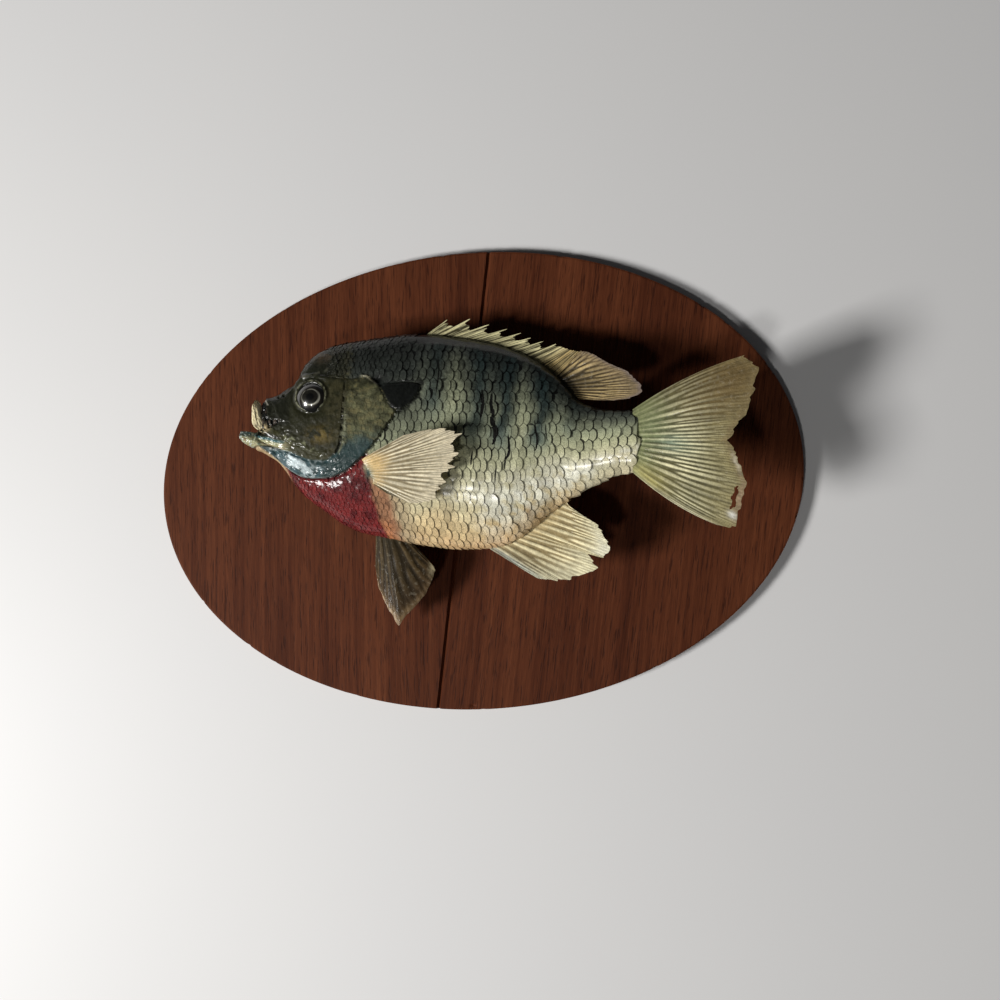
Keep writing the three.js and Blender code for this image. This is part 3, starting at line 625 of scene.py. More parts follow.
    # painted highlights on the blue band: a patch of pale glints low on the gill cover, then two glint spots near the
    # jaw
    across = np.abs((x + 67.5) * 0.56 + (y - 6.4) * 0.83)
    along_ = np.abs((x + 67.5) * 0.83 - (y - 6.4) * 0.56)
    highlightPatch = bell(np.maximum(across - 1, 0), 1.2) * bell(np.maximum(along_ - 4, 0), 2.5)
    glintMask = smooth(cloud(x + 0.5 * y, 1.5 * y, 1.5, 36) + 0.34 * highlightPatch, 0.55, 0.74)
    c = paint(c, colours["blueHighlight"], steel * glintMask * (0.35 + 0.65 * highlightPatch) * smooth(x, -50, -58))
    for spotX in (-79, -76.8):
        c = paint(c, [.8, .82, .78], bell(np.hypot(x - spotX, y - 13.1), 0.55))
    rough = lerp(rough, 0.2, np.maximum(blue, depth * head * smooth(x, -42, -50)))
    rim, rimAlong = f["jawRim"]
    jaw = smooth(rim, 0.5, -0.1) * smooth(band, -0.4, 0.2) * smooth(x, -69, -76)
    c = paint(c, colours["jaw"], jaw)
    c = paint(c, colours["jawBrown"], 0.7 * jaw * smooth(mottle(0.5 * x, 2 * y + 0.5 * x, 1.1, 39), 0.6, 0.85))
    c = paint(c, colours["jawEdge"], jaw * smooth(rim, -1.4, -0.5) * smooth(x, -66, -74))
    c = paint(c, colours["jawEdge"], 0.5 * jaw * smooth(mottle(x, y, 2.1, 40), 0.6, 0.9) * smooth(x, -80, -84))
    tipTop = jaw * smooth(x, -85, -89.5) * smooth(rim, -3, -1.4)
    c = paint(c, [.03, .065, .065], 0.85 * tipTop)
    c = paint(c, [.6, .66, .6], jaw * smooth(x, -84, -87) * smooth(cloud(x, y, 0.5, 62), 0.6, 0.68))
    lower = smooth(x, -70, -76) * smooth(band, 0.4, -0.4) * smooth(y - bellyAt(x), 3.2, 1.6)
    c = paint(c, [.55, .4, .22], lower)
    # painted shade in the groove along the jaw band
    c = paint(c, [.1, .08, .04], 0.8 * bell(band + 0.1, 0.3) * smooth(x, -74, -77) * smooth(x, -90, -87))
    c = paint(c, colours["black"], smooth(rimAlong, 1, 0.86) * bell(rim - 1, 0.8))
    torn = smooth(-f["lipTorn"][0] + 1.6 * (cloud(x, y, 1, 44) - 0.5), -0.1, 0.4)
    c = paint(c, colours["black"], torn)
    c = paint(c, [.12, .09, .07], 0.7 * torn * smooth(mottle(1.8 * x, 0.5 * y, 1, 49), 0.62, 0.85))
    c = paint(c, [.55, .52, .42], 0.9 * bell(f["lipStreak"][0], 0.25))
    crumbs = bell(np.hypot((x + 82.4) / 2.6, (y - 21.2) / 1.5), 1) * smooth(cloud(x, y, 0.6, 60), 0.5, 0.6)
    c = paint(c, [.75, .6, .34], 0.9 * crumbs)
    r = f["eye"]
    c = paint(c, [.3, .3, .2], bell(r - 6.9, 0.3) * smooth(cloud(x, y, 0.7, 50), 0.35, 0.6))
    c = paint(c, colours["black"], 1 - smooth(r, 5.6, 6.5))
    # painted shade in the cheek groove, wider where it opens
    opening = smooth(f["cheekGroove"][1], 0.35, 0.5) * smooth(f["cheekGroove"][1], 1, 0.97)
    c = paint(c, colours["black"], bell(f["cheekGroove"][0], 0.34 + 0.36 * opening) * (0.6 + 0.4 * opening))
    c = paint(c, [.07, .05, .03], bell(np.hypot((x + 58) / 5, (y - 51) / 2.6), 1) * smooth(cloud(x, y, 2, 54), 0.35, 0.6))
    c = paint(c, [.13, .125, .09], 0.7 * bell(f["foreheadCrease"][0], 0.5) * smooth(cloud(x, y, 1.3, 55), 0.4, 0.65))
    c = paint(c, [.03, .09, .085], bell(np.hypot((x + 37.6) / 1, (y - 2.6) / 2.4), 1))
    # painted highlight on the groove's raised rear edge
    c = paint(c, [.3, .31, .2], 0.8 * bell(f["cheekGroove"][0] - 1.05, 0.3) * opening)
    # painted shadow under the gill cover's free edge, where it stands off the body
    c = paint(c, colours["black"], smooth(f["coverEdge"][0], 0, 0.2) * bell(f["coverEdge"][0] - 0.2, 0.25) * f["crack"])
    c = paint(c, [.4, .45, .42], 0.5 * bell(f["coverEdge"][0] + 0.35, 0.25) * smooth(x, -50, -58) * f["crack"])
    # painted shade: the hollow above the ear flap is painted black
    c = paint(c, colours["black"], np.minimum(1, 1.3 * bell(f["hollow"], 0.95)))
    # painted highlight along the raised bone tip above the gill cover
    c = paint(c, colours["bone"], 0.8 * bell(f["topBone"][0], 0.35) * smooth(x, -42, -40) * smooth(x, -34.5, -36))
    c = paint(c, colours["ear"], f["flap"])
    rough = lerp(rough, 0.42, f["flap"])
    # painted shadow round the raised ear flap's edge
    c = paint(c, colours["black"], smooth(f["earFlap"][0], 0, 0.15) * bell(f["earFlap"][0] - 0.3, 0.45))
    c = paint(c, colours["black"], bell(f["slit"][0], 0.4))
    c = paint(c, colours["black"], 0.75 * smooth(level, 0.93, 0.965) * smooth(x, -30, -16) * smooth(x, 46, 40))
    # painted highlight: pale glints along the low flank where a lamp's reflection runs, with lower roughness there
    paintedHighlightRow = 0.4 * bell(np.maximum(np.abs(nearPath(x, y, marks["lowHighlightRow"])[0]) - 1, 0), 1.6)
    paintedHighlightRow = paintedHighlightRow * smooth(cloud(x, y, 1.6, 51), 0.35, 0.65) * (x > -24)
    c = paint(c, [.93, .93, .84], paintedHighlightRow)
    rough = lerp(rough, 0.24, paintedHighlightRow)
    # painted shade of the skin crease where the red breast meets the belly
    creaseShade = bell(edge - 0.2, 0.4) * smooth(y, 4, 0) * smooth(y, -22, -14) * (x < -20) * (1 - f["onCover"])
    c = paint(c, [.05, .012, .01], 0.75 * creaseShade * smooth(cloud(x, y, 2, 52), 0.35, 0.55))
    c = c * (0.7 + 0.3 * cloud(x, y, 3.2, 41) + 0.3 * cloud(x, y, 0.9, 43))[..., None]
    return np.concatenate([c, rough[..., None]], -1)


skin = {
    "bands": [(-92.5, -82, 56), (-82, -40, 158), (-40, 66, 164), (66, 73.6, 32)],  # from, to, stations
    "left": 165, "right": 75,  # points round each side
    "typical": [38, 17],  # half-height and half-thickness that spread the points evenly
}


def evenTurns(count, start):
    # turns over half a section, spaced evenly along its curve
    fine = np.linspace(0, np.pi, 2000)
    tall, thick = skin["typical"]
    y, z = tall * np.cos(fine), thick * np.sin(fine) ** (2 * fish["sectionPower"])
    length = np.concatenate([[0], np.cumsum(np.hypot(np.diff(y), np.diff(z)))])
    return start + np.interp(np.arange(count) / count * length[-1], length, fine)


def makeSkin(material):
    # stations along x, each a loop of turns; both ends close on a middle point
    stations = np.concatenate([np.linspace(a, b, n, endpoint=False) for a, b, n in skin["bands"]])
    turns = np.concatenate([evenTurns(skin["left"], 0), evenTurns(skin["right"], np.pi)])
    x, turn = np.meshgrid(stations, turns, indexing="ij")
    points, _, f = skinPoints(x, turn)
    rows, cols = x.shape
    tint = fishColour(points[..., 0], points[..., 1], f)
    split = np.stack([*f["split"], 0 * x], -1)
    ends = points[[0, -1]].mean(1)
    flat = np.vstack([points.reshape(-1, 3), ends])
    around = np.arange(cols)
    last = (rows - 1) * cols
    first = rows * cols
    faces = gridFaces(rows, cols, wrap=True)
    flipped = not np.array_equal(outward(flat, faces)[0], faces[0])
    front = np.stack([around, np.full(cols, first), (around + 1) % cols], -1)
    back = np.stack([around + last, (around + 1) % cols + last, np.full(cols, first + 1)], -1)
    fans = np.concatenate([front, back])
    piece = newPiece("skin", flat, faces, material,
                     tint=np.vstack([tint.reshape(-1, 4), tint[[0, -1], 0]]),
                     extra={"split": np.vstack([split.reshape(-1, 3), split[[0, -1], 0]])},
                     fans=fans[:, ::-1] if flipped else fans)
    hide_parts("head", "breast", "trunk", "tail_stalk", "gill_cover_left", "gill_cover_right",
                "ear_flap_left", "ear_flap_right", "lower_jaw")


# Scales

def arcTable(start):
    # turn as a function of x and of the distance round the section from one flank's middle, on a regular grid
    xs = np.linspace(-94, 72, 200)
    spread = np.linspace(-0.4, np.pi + 0.4, 500)
    around = np.linspace(-62, 62, 400)
    rows = []
    for station in xs:
        p = bodyPoints(station + 0 * spread, start + spread, fish["coat"])
        length = np.concatenate([[0], np.cumsum(np.linalg.norm(np.diff(p, axis=0), axis=1))])
        middle = np.interp(np.pi / 2, spread, length)
        rows.append(np.interp(around, length - middle, start + spread))
    return xs, around, np.array(rows)


def lookUp(table, x, s):
    xs, around, turns = table
    u = np.clip((x - xs[0]) / (xs[1] - xs[0]), 0, len(xs) - 1.001)
    v = np.clip((s - around[0]) / (around[1] - around[0]), 0, len(around) - 1.001)
    i, j = u.astype(int), v.astype(int)
    s, t = u - i, v - j
    return lerp(lerp(turns[i, j], turns[i + 1, j], s), lerp(turns[i, j + 1], turns[i + 1, j + 1], s), t)


# Each coat: where it lies along x, the pitch along a row and between rows at its two ends, and its mesh
coats = {
    "flank": {"x": [-44, 71.5], "pitch": [[-40, 2.6, 3.9], [-12, 2.8, 4.4], [15, 2.8, 4.6], [35, 3, 4.4],
                                          [50, 3.35, 4.1], [70, 3.4, 4]],
              "cells": [8, 5], "rise": 0.5, "outline": 0.95, "seed": 1},
    "nape": {"x": [-62, -16], "pitch": [[-62, 1.7, 2.2], [-16, 2.5, 3.3]], "cells": [6, 4], "rise": 0.4,
             "outline": 0.8, "seed": 2},
    "breast": {"x": [-76, -22], "pitch": [[-76, 1.6, 2.1], [-22, 2.1, 2.8]], "cells": [6, 4], "rise": 0.3,
               "outline": 0.75, "seed": 3},
    "cover": {"x": [-60, -22], "pitch": [[-60, 1.8, 2.2], [-22, 2.1, 2.6]], "cells": [5, 3], "rise": 0.16,
              "outline": 0.2, "seed": 4},
    "length": 2.1,  # of a scale, in pitches along the row
    "half": 0.66,  # its half-width, in pitches between rows
    "bow": 1.9,  # how fast its free edge turns away towards its corners
}


def coverage(zone, x, y, f):
    # which coat a scale whose visible middle is here belongs to
    level = levelAt(x, y)
    behind = (f["coverEdge"][0] > 0.3) | (x > -20)
    bare = (f["earFlap"][0] < 0.4) & (np.hypot(x + 25, y - 34) < 12)
    bare |= (f["hollow"] < 0.9)
    onBreast = (f["crimsonEnd"][0] < 5) & (f["coverEdge"][0] > 0.2) & (y < 14) & (x < -20)
    napeEnd = lerp(-19, -34, np.clip((62 - y) / 24, 0, 1))
    onNape = (x < napeEnd) & (y > 39.5 + 0.1 * (x + 45)) & (level < 0.999)
    smoothBand = (level > 0.945) & (x > -20)
    onCover = (f["onCover"] > 0.5) & (f["cheekGroove"][0] > 1.2) & (y > 14) & (y < 37)
    if zone == "flank":
        return behind & ~bare & ~onBreast & ~onNape & ~smoothBand & (f["onCover"] < 0.5) & (x < 69.4) & (x > -42)
    if zone == "nape":
        return onNape & ~bare & (x > -57 + 0.25 * (58 - y))
    if zone == "breast":
        return onBreast & (x > -74)
    return onCover & ~bare


def lattice(zone, around):
    # scale places: columns half a pitch apart, rows shifted by one in every other column
    data = coats[zone]
    at, along, between = np.array(data["pitch"]).T
    xs = [data["x"][0]]
    while xs[-1] < data["x"][1]:
        xs.append(xs[-1] + np.interp(xs[-1], at, along) / 2)
    column = np.arange(len(xs))
    rows = np.arange(-around, around + 1, 2)
    x, row = np.meshgrid(np.array(xs), rows, indexing="ij")
    row = row + (column % 2)[:, None]
    a, b = np.interp(x, at, along), np.interp(x, at, between)
    rng = np.random.default_rng(data["seed"])
    wander = rng.normal(size=(2, *x.shape))
    fields_ = [x + 0.09 * a * wander[0], row * b + 0.05 * b * wander[1], a, b]
    return [v.ravel() for v in fields_]


def makeScales(name, zones, side, material, fromX=-95, toX=80):
    # a scale is a small domed sheet: its root lies in the skin and its free edge stands over the next one's root
    start = 0 if side > 0 else np.pi
    table = arcTable(start)
    points, tints, lies, cuts, gapDirtAndShades, uvs, faces = [], [], [], [], [], [], []
    total = 0
    for zone in zones:
        data = coats[zone]
        x0, s0, a, b = lattice(zone, 26)
        inRange = np.abs(s0) < 60
        x0, s0, a, b = (v[inRange] for v in (x0, s0, a, b))
        middle = bodyPoints(x0 - 0.4 * a, lookUp(table, x0 - 0.4 * a, s0), fish["coat"])
        turn = lookUp(table, x0, s0)
        inside = (turn > start - 0.02) & (turn < start + np.pi + 0.02)
        seen = middle[:, 2] > (fish["floor"] + 0.8)
        f = fields(middle[:, 0], middle[:, 1])
        ok = inside & seen & coverage(zone, middle[:, 0], middle[:, 1], f) & (x0 >= fromX) & (x0 < toX)
        x0, s0, a, b = (v[ok, None, None] for v in (x0, s0, a, b))
        rng = np.random.default_rng(data["seed"] + 50)
        shade = rng.normal(size=x0.shape)
        tilt = rng.normal(size=x0.shape)
        across, along = data["cells"]
        u = np.linspace(-1, 1, across + 1)[None, None, :]
        t = (1 - (1 - np.linspace(0, 1, along + 1)) ** 1.35)[None, :, None]
        # local place: X in pitches along the row, 0 at the free edge's tip; Y in pitches between rows
        localX = -coats["length"] * (1 - t) - coats["bow"] * np.abs(coats["half"] * u) ** 3 + 0 * u
        localY = coats["half"] * u * (0.62 + 0.38 * np.sin(np.clip(t, 0, 1) * np.pi / 2)) + 0 * t
        x = x0 + a * localX
        s = s0 + b * localY
        skinAt, normal, f = skinPoints(x, lookUp(table, x, s), 0.1)
        dome = (1 - u ** 2) * 0.16 * b / 4 * t
        high = data["rise"] * (0.15 + 0.85 * t ** 1.5) * (1 + 0.18 * tilt) + dome
        high = high - 0.25 * data["rise"] * np.abs(u) ** 3
        # what runs under the gill cover or the ear flap sinks into the skin
        if zone != "cover":
            high = high - 1.3 * np.maximum(f["onCover"], f["flap"])
        thick = 0.16
        top = skinAt + normal * high[..., None]
        under = skinAt + normal * (high - thick)[..., None]
        both = np.stack([top, under], 1)
        both[..., 2] = np.maximum(both[..., 2], fish["floor"] - 0.2)
        n = x.shape[0]
        tint = fishColour(x, skinAt[..., 1], f)
        tint[..., :3] *= (1 + 0.1 * shade)[..., None]
        lie = np.stack([localX + 0 * x, localY + 0 * x, 0.5 + 0.2 * shade + 0 * x], -1)
        cut = np.stack([*f["split"], 0 * x], -1)
        level = levelAt(x, skinAt[..., 1])
        # strength of the dark outlines: dark paint in the gaps and painted shade under the overlapping edges
        outline = data["outline"] * lerp(0.4, 1, smooth(level, 0.25, 0.5) * smooth(f["crimsonEnd"][0], -4, 8))
        outline = outline * (0.55 + 0.9 * mottle(x, skinAt[..., 1], 4, 61))
        wear = np.stack([np.minimum(outline, 1), 0 * x, 0 * x], -1)
        rootU = 0.02 + 0.96 * (x0 - coats["length"] * a + 94) / 168
        rootV = 0.5 + s0 / 130
        patch = 0.003
        uv = np.stack([rootU + patch * (t - 0.5) + 0 * x, rootV + patch * u / 2 + 0 * x], -1)
        for store, value in ((tints, tint), (lies, lie), (cuts, cut), (gapDirtAndShades, wear), (uvs, uv)):
            store.append(np.stack([value, value], 1).reshape(-1, value.shape[-1]))
        one = sheetFaces(np.ones((along, across), bool))
        size = 2 * (along + 1) * (across + 1)
        faces.append((one[None] + (total + size * np.arange(n))[:, None, None]).reshape(-1, 4))
        points.append(both.reshape(-1, 3))
        total += n * size
        print(" ", zone, n, "scales")
    newPiece(name, np.vstack(points), np.concatenate(faces), material, tint=np.vstack(tints),
             extra={"lie": np.vstack(lies), "split": np.vstack(cuts), "wear": np.vstack(gapDirtAndShades)}, uv=np.vstack(uvs), sharp=55)


# Materials of skin and scales

def splitDark(m):
    # 1 inside a split in the skin
    distance, halfWidth, _ = m.parts(m.attribute("split"))
    return (halfWidth - distance.math("ABSOLUTE")).between(-0.08, 0.1)


def skinFinish():
    m = Finish("painted skin under varnish")
    tint = m.attribute("tint", "Color")
    rough = m.attribute("tint", "Alpha")
    place_ = m.object()
    fine = m.noise(place_, 1500, 4, 0.7)
    broad = m.noise(place_, 420, 3)
    colour = m.shaded(tint, 1.7 * fine + 0.5 * broad - 0.1)
    colour = m.mixed(splitDark(m), colour, (.004, .004, .003))
    height = 0.6 * m.noise(place_, 900, 5, 0.6) + 0.4 * fine
    return m.surface(colour=colour, roughness=rough + 0.25 * (fine - 0.5), specular=0.12, coat=0.45,
                     coatRoughness=0.1, normal=m.bump(height, 0.7, 0.0005))


def scaleFinish():
    m = Finish("painted scales under varnish")
    tint = m.attribute("tint", "Color")
    rough = m.attribute("tint", "Alpha")
    x, y, chance = m.parts(m.attribute("lie"))
    outline = m.parts(m.attribute("wear"))[0]
    place_ = m.object()
    bow = coats["bow"]
    # the free edges of the scales in front: one in this row, and one in each row beside it
    turned = y.math("ABSOLUTE") ** 3 * (-bow)
    beside = (y.math("ABSOLUTE") - 1).math("ABSOLUTE") ** 3 * (-bow) - 0.5
    behind = x - (turned - 1).math("MAXIMUM", beside)
    gape = m.noise(place_, 160, 3, 0.6).between(0.42, 0.62)
    # dark outline behind the neighbours' free edges: dark paint in the gaps and painted shade under those edges
    line = (1 - behind.between(0.02 + 0.1 * gape, 0.06 + 0.13 * gape)) * outline * (0.7 + 0.3 * gape)
    # painted shade along the scale's own free edge
    edge = 1 - (1 - (turned - x).between(0.0, 0.035)) * outline
    fine = m.noise(place_, 1500, 4, 0.7)
    streak = m.noise(m.add("ShaderNodeCombineXYZ", inputs=[x * 0.9, y * 7, chance * 40]), 3.0, 2)
    # fine speckle: grit, and painted glints of the varnish
    gritAndGlints = m.noise(place_, 3300, 2).between(0.3, 0.7)
    amount = (0.1 + 1.3 * fine + 0.5 * (streak - 0.15) + 0.56 * gritAndGlints) * (1 - 0.95 * line) * (0.55 + 0.45 * edge)
    colour = m.mixed(splitDark(m), m.shaded(tint, amount), (.004, .004, .003))
    height = streak * 0.4 + fine * 0.6
    return m.surface(colour=colour, roughness=rough + 0.3 * (fine - 0.5), specular=0.12, coat=0.5,
                     coatRoughness=0.15, normal=m.bump(height, 0.9, 0.0005))


# Eyes

eye = {"radius": 8, "depth": 5.9, "rings": 60, "around": 64, "pupil": 1.7, "ring": 3.7, "iris": 4.7,
       "shift": [0.25, -0.7, 0], "gaze": [0.085, -0.06, 0]}  # the glass was set a little low


def makeEye(name, node, side, material):
    # a ball sunk deep into the flank, so that only its cap shows: rings about the axis that looks out of the head
    x, y = marks["eye"]

    def flankAt(px, py):
        level = (2 * py - backAt(px) - bellyAt(px)) / (backAt(px) - bellyAt(px))
        turn = math.acos(float(level)) if side > 0 else 2 * np.pi - math.acos(float(level))
        return bodyPoints(np.array(px), np.array(turn), 0)
    surface = flankAt(x, y)
    axis = np.cross(flankAt(x + 1, y) - surface, flankAt(x, y + 1) - surface) * side
    axis /= np.linalg.norm(axis)
    centre = surface - axis * eye["depth"] + eye["shift"]
    axis = axis + eye["gaze"]
    axis /= np.linalg.norm(axis)
    right = np.cross([0, 1, 0], axis)
    right /= np.linalg.norm(right)
    up = np.cross(axis, right)
    polar = np.linspace(0, np.pi, eye["rings"] + 1)[1:-1, None, None]
    round_ = (np.arange(eye["around"]) / eye["around"] * 2 * np.pi)[None, :, None]
    ring = eye["radius"] * np.sin(polar)
    points = centre + ring * (np.cos(round_) * right + np.sin(round_) * up) + eye["radius"] * np.cos(polar) * axis
    out, beside = ring * np.cos(round_), ring * np.sin(round_)
    r = np.where(polar > np.pi / 2, 9, np.hypot(out + 0.15, 1.14 * beside))[..., 0]
    c = paint(np.zeros((*r.shape, 3)) + [.012, .01, .007], [.016, .015, .011], bell(r - 2.6, 0.8))
    c = paint(c, [.02, .015, .008], 0.8 * bell(r - 4.7, 0.5))
    flecks = mottle(r * 1.4, np.arctan2(beside, out)[..., 0] * 5, 1, 71)
    c = c * (0.45 + 0.9 * flecks)[..., None]
    # the glass eye's silver ring, made brighter towards the lower rear by a painted highlight
    highlightSide = 0.5 + 0.5 * np.cos(np.arctan2(beside, out)[..., 0] + 0.7)
    c = paint(c, [.75, .73, .6], (0.3 + 0.7 * highlightSide) * bell(r - eye["ring"], lerp(0.14, 0.26, highlightSide)))
    c = paint(c, [.002, .002, .002], 1 - smooth(r, eye["pupil"] - 0.15, eye["pupil"] + 0.1))
    c = paint(c, [.006, .006, .005], smooth(r, eye["iris"] + 0.2, eye["iris"] + 0.7))
    rings, cols = r.shape
    flat = np.vstack([points.reshape(-1, 3), centre + axis * eye["radius"], centre - axis * eye["radius"]])
    tint = np.concatenate([c, np.full((*r.shape, 1), 0.12)], -1)
    tint = np.vstack([tint.reshape(-1, 4), [[.002, .002, .002, .1]] * 2])
    faces = gridFaces(rings, cols, wrap=True)
    flipped = not np.array_equal(outward(flat, faces)[0], faces[0])
    k = np.arange(cols)
    last = (rings - 1) * cols
    front = np.stack([k, np.full(cols, rings * cols), (k + 1) % cols], -1)
    back = np.stack([k + last, (k + 1) % cols + last, np.full(cols, rings * cols + 1)], -1)
    fans = np.concatenate([front, back])
    piece = newPiece(name, flat, faces, material, tint=tint, fans=fans[:, ::-1] if flipped else fans)
    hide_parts(node)


def eyeFinish():
    m = Finish("glass over a painted eye")
    tint = m.attribute("tint", "Color")
    fine = m.noise(m.object(), 3200, 3)
    return m.surface(colour=m.shaded(tint, 0.8 + 0.4 * fine), roughness=0.2 + 0.1 * fine, coat=1.0,
                     coatRoughness=0.02, coatIor=1.55)


# Upper lip: what is left of it is bare filler

filler = {
    "bottom": 20.2, "top": 32.6,
    "front": [[0, -84.6], [.14, -86.9], [.3, -87.8], [.6, -87.9], [.9, -88], [1, -87.8]],  # part of the height, x
    "back": [[0, -81.4], [.16, -81.2], [.3, -82.2], [.5, -83.4], [.8, -84.9], [1, -86.1]],
    "half": [[0, 6], [.3, 5.7], [.7, 5], [1, 3]],  # part of the height, half-width
    "rows": 60, "around": 96,
}


def makeFiller(material):
    # a torn wedge, upright at its front: a squarish loop at each height, drawn in at both ends, with upright fibres
    t = np.linspace(0, 1, filler["rows"])[:, None]
    angle = (np.arange(filler["around"]) / filler["around"] * 2 * np.pi)[None]
    fibres = mottle(angle * 9, t * 2.2, 1, 81) - 0.5 + 0.6 * (mottle(angle * 20, t * 5, 1, 82) - 0.5)
    grain = mottle(angle * 14, t * 30, 1, 83) - 0.5
    ends = np.clip(1 - np.abs(2 * t - 1) ** 9, 0, 1) ** 0.5
    front, back, half = (through(filler[key], t) for key in ("front", "back", "half"))
    wide = (back - front) / 2
    square = (np.abs(np.cos(angle)) ** 3.4 + np.abs(np.sin(angle)) ** 3.4) ** (-1 / 3.4)
    reach = square * (1 + 0.05 * fibres + 0.05 * grain) * ends
    y = lerp(filler["bottom"], filler["top"], t) + 1.6 * fibres * smooth(np.abs(2 * t - 1), 0.6, 1)
    x = front + wide + wide * reach * np.cos(angle)
    z = middleAt(x) + half * reach * np.sin(angle) + 0.5 * (mottle(angle * 3, t * 3, 1, 85) - 0.5)
    points = np.stack([x, y + 0 * x, z], -1)
    c = paint(np.zeros((*x.shape, 3)) + [.95, .82, .5], [.5, .34, .15], 0.3 * smooth(-fibres, 0.2, 0.5))
    c = paint(c, [.95, .88, .64], 0.7 * smooth(grain, 0.05, 0.35))
    c = paint(c, [.1, .07, .045], 0.85 * smooth(t, 0.34, 0.1) * smooth(mottle(angle * 6, t * 14, 1, 84), 0.45, 0.6))
    tint = np.concatenate([c, np.full((*x.shape, 1), 0.7)], -1)
    faces = gridFaces(*x.shape, wrap=True)
    piece = newPiece("lip_filler", points.reshape(-1, 3), faces, material, tint=tint.reshape(-1, 4))
    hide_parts("upper_jaw")


def fillerFinish():
    m = Finish("bare rough filler")
    fine = m.noise(m.stretched(m.object(), (1, 0.35, 1)), 2600, 4, 0.65)
    colour = m.shaded(m.attribute("tint", "Color"), 0.5 + 1.1 * fine)
    return m.surface(colour=colour, roughness=0.68, normal=m.bump(fine, 0.8, 0.0006))


# Fins

def median(x, y, u, t):
    return middleAt(x)


def swung(rootHeight, tipHeight):
    return lambda x, y, u, t: lerp(rootHeight, tipHeight, t ** 0.6)


def laidOn(firstTip, lastTip):
    # from just under the flank at the root out to tips whose height changes across the fin
    def height(x, y, u, t):
        turn = np.arccos(np.clip(2 * levelAt(x[:, :1], y[:, :1]) - 1, -1, 1))
        root = bodyPoints(x[:, :1], turn, fish["coat"])[..., 2] - 0.7
        return lerp(root, lerp(firstTip, lastTip, u), t ** 0.8)
    return height


def evenly(points, u):
    # a polyline's place at u from 0 to 1, its points evenly spaced in u
    p = np.array(points, float)
    at = np.linspace(0, 1, len(p))
    return np.stack([np.interp(u, at, p[:, 0]), np.interp(u, at, p[:, 1])], -1)


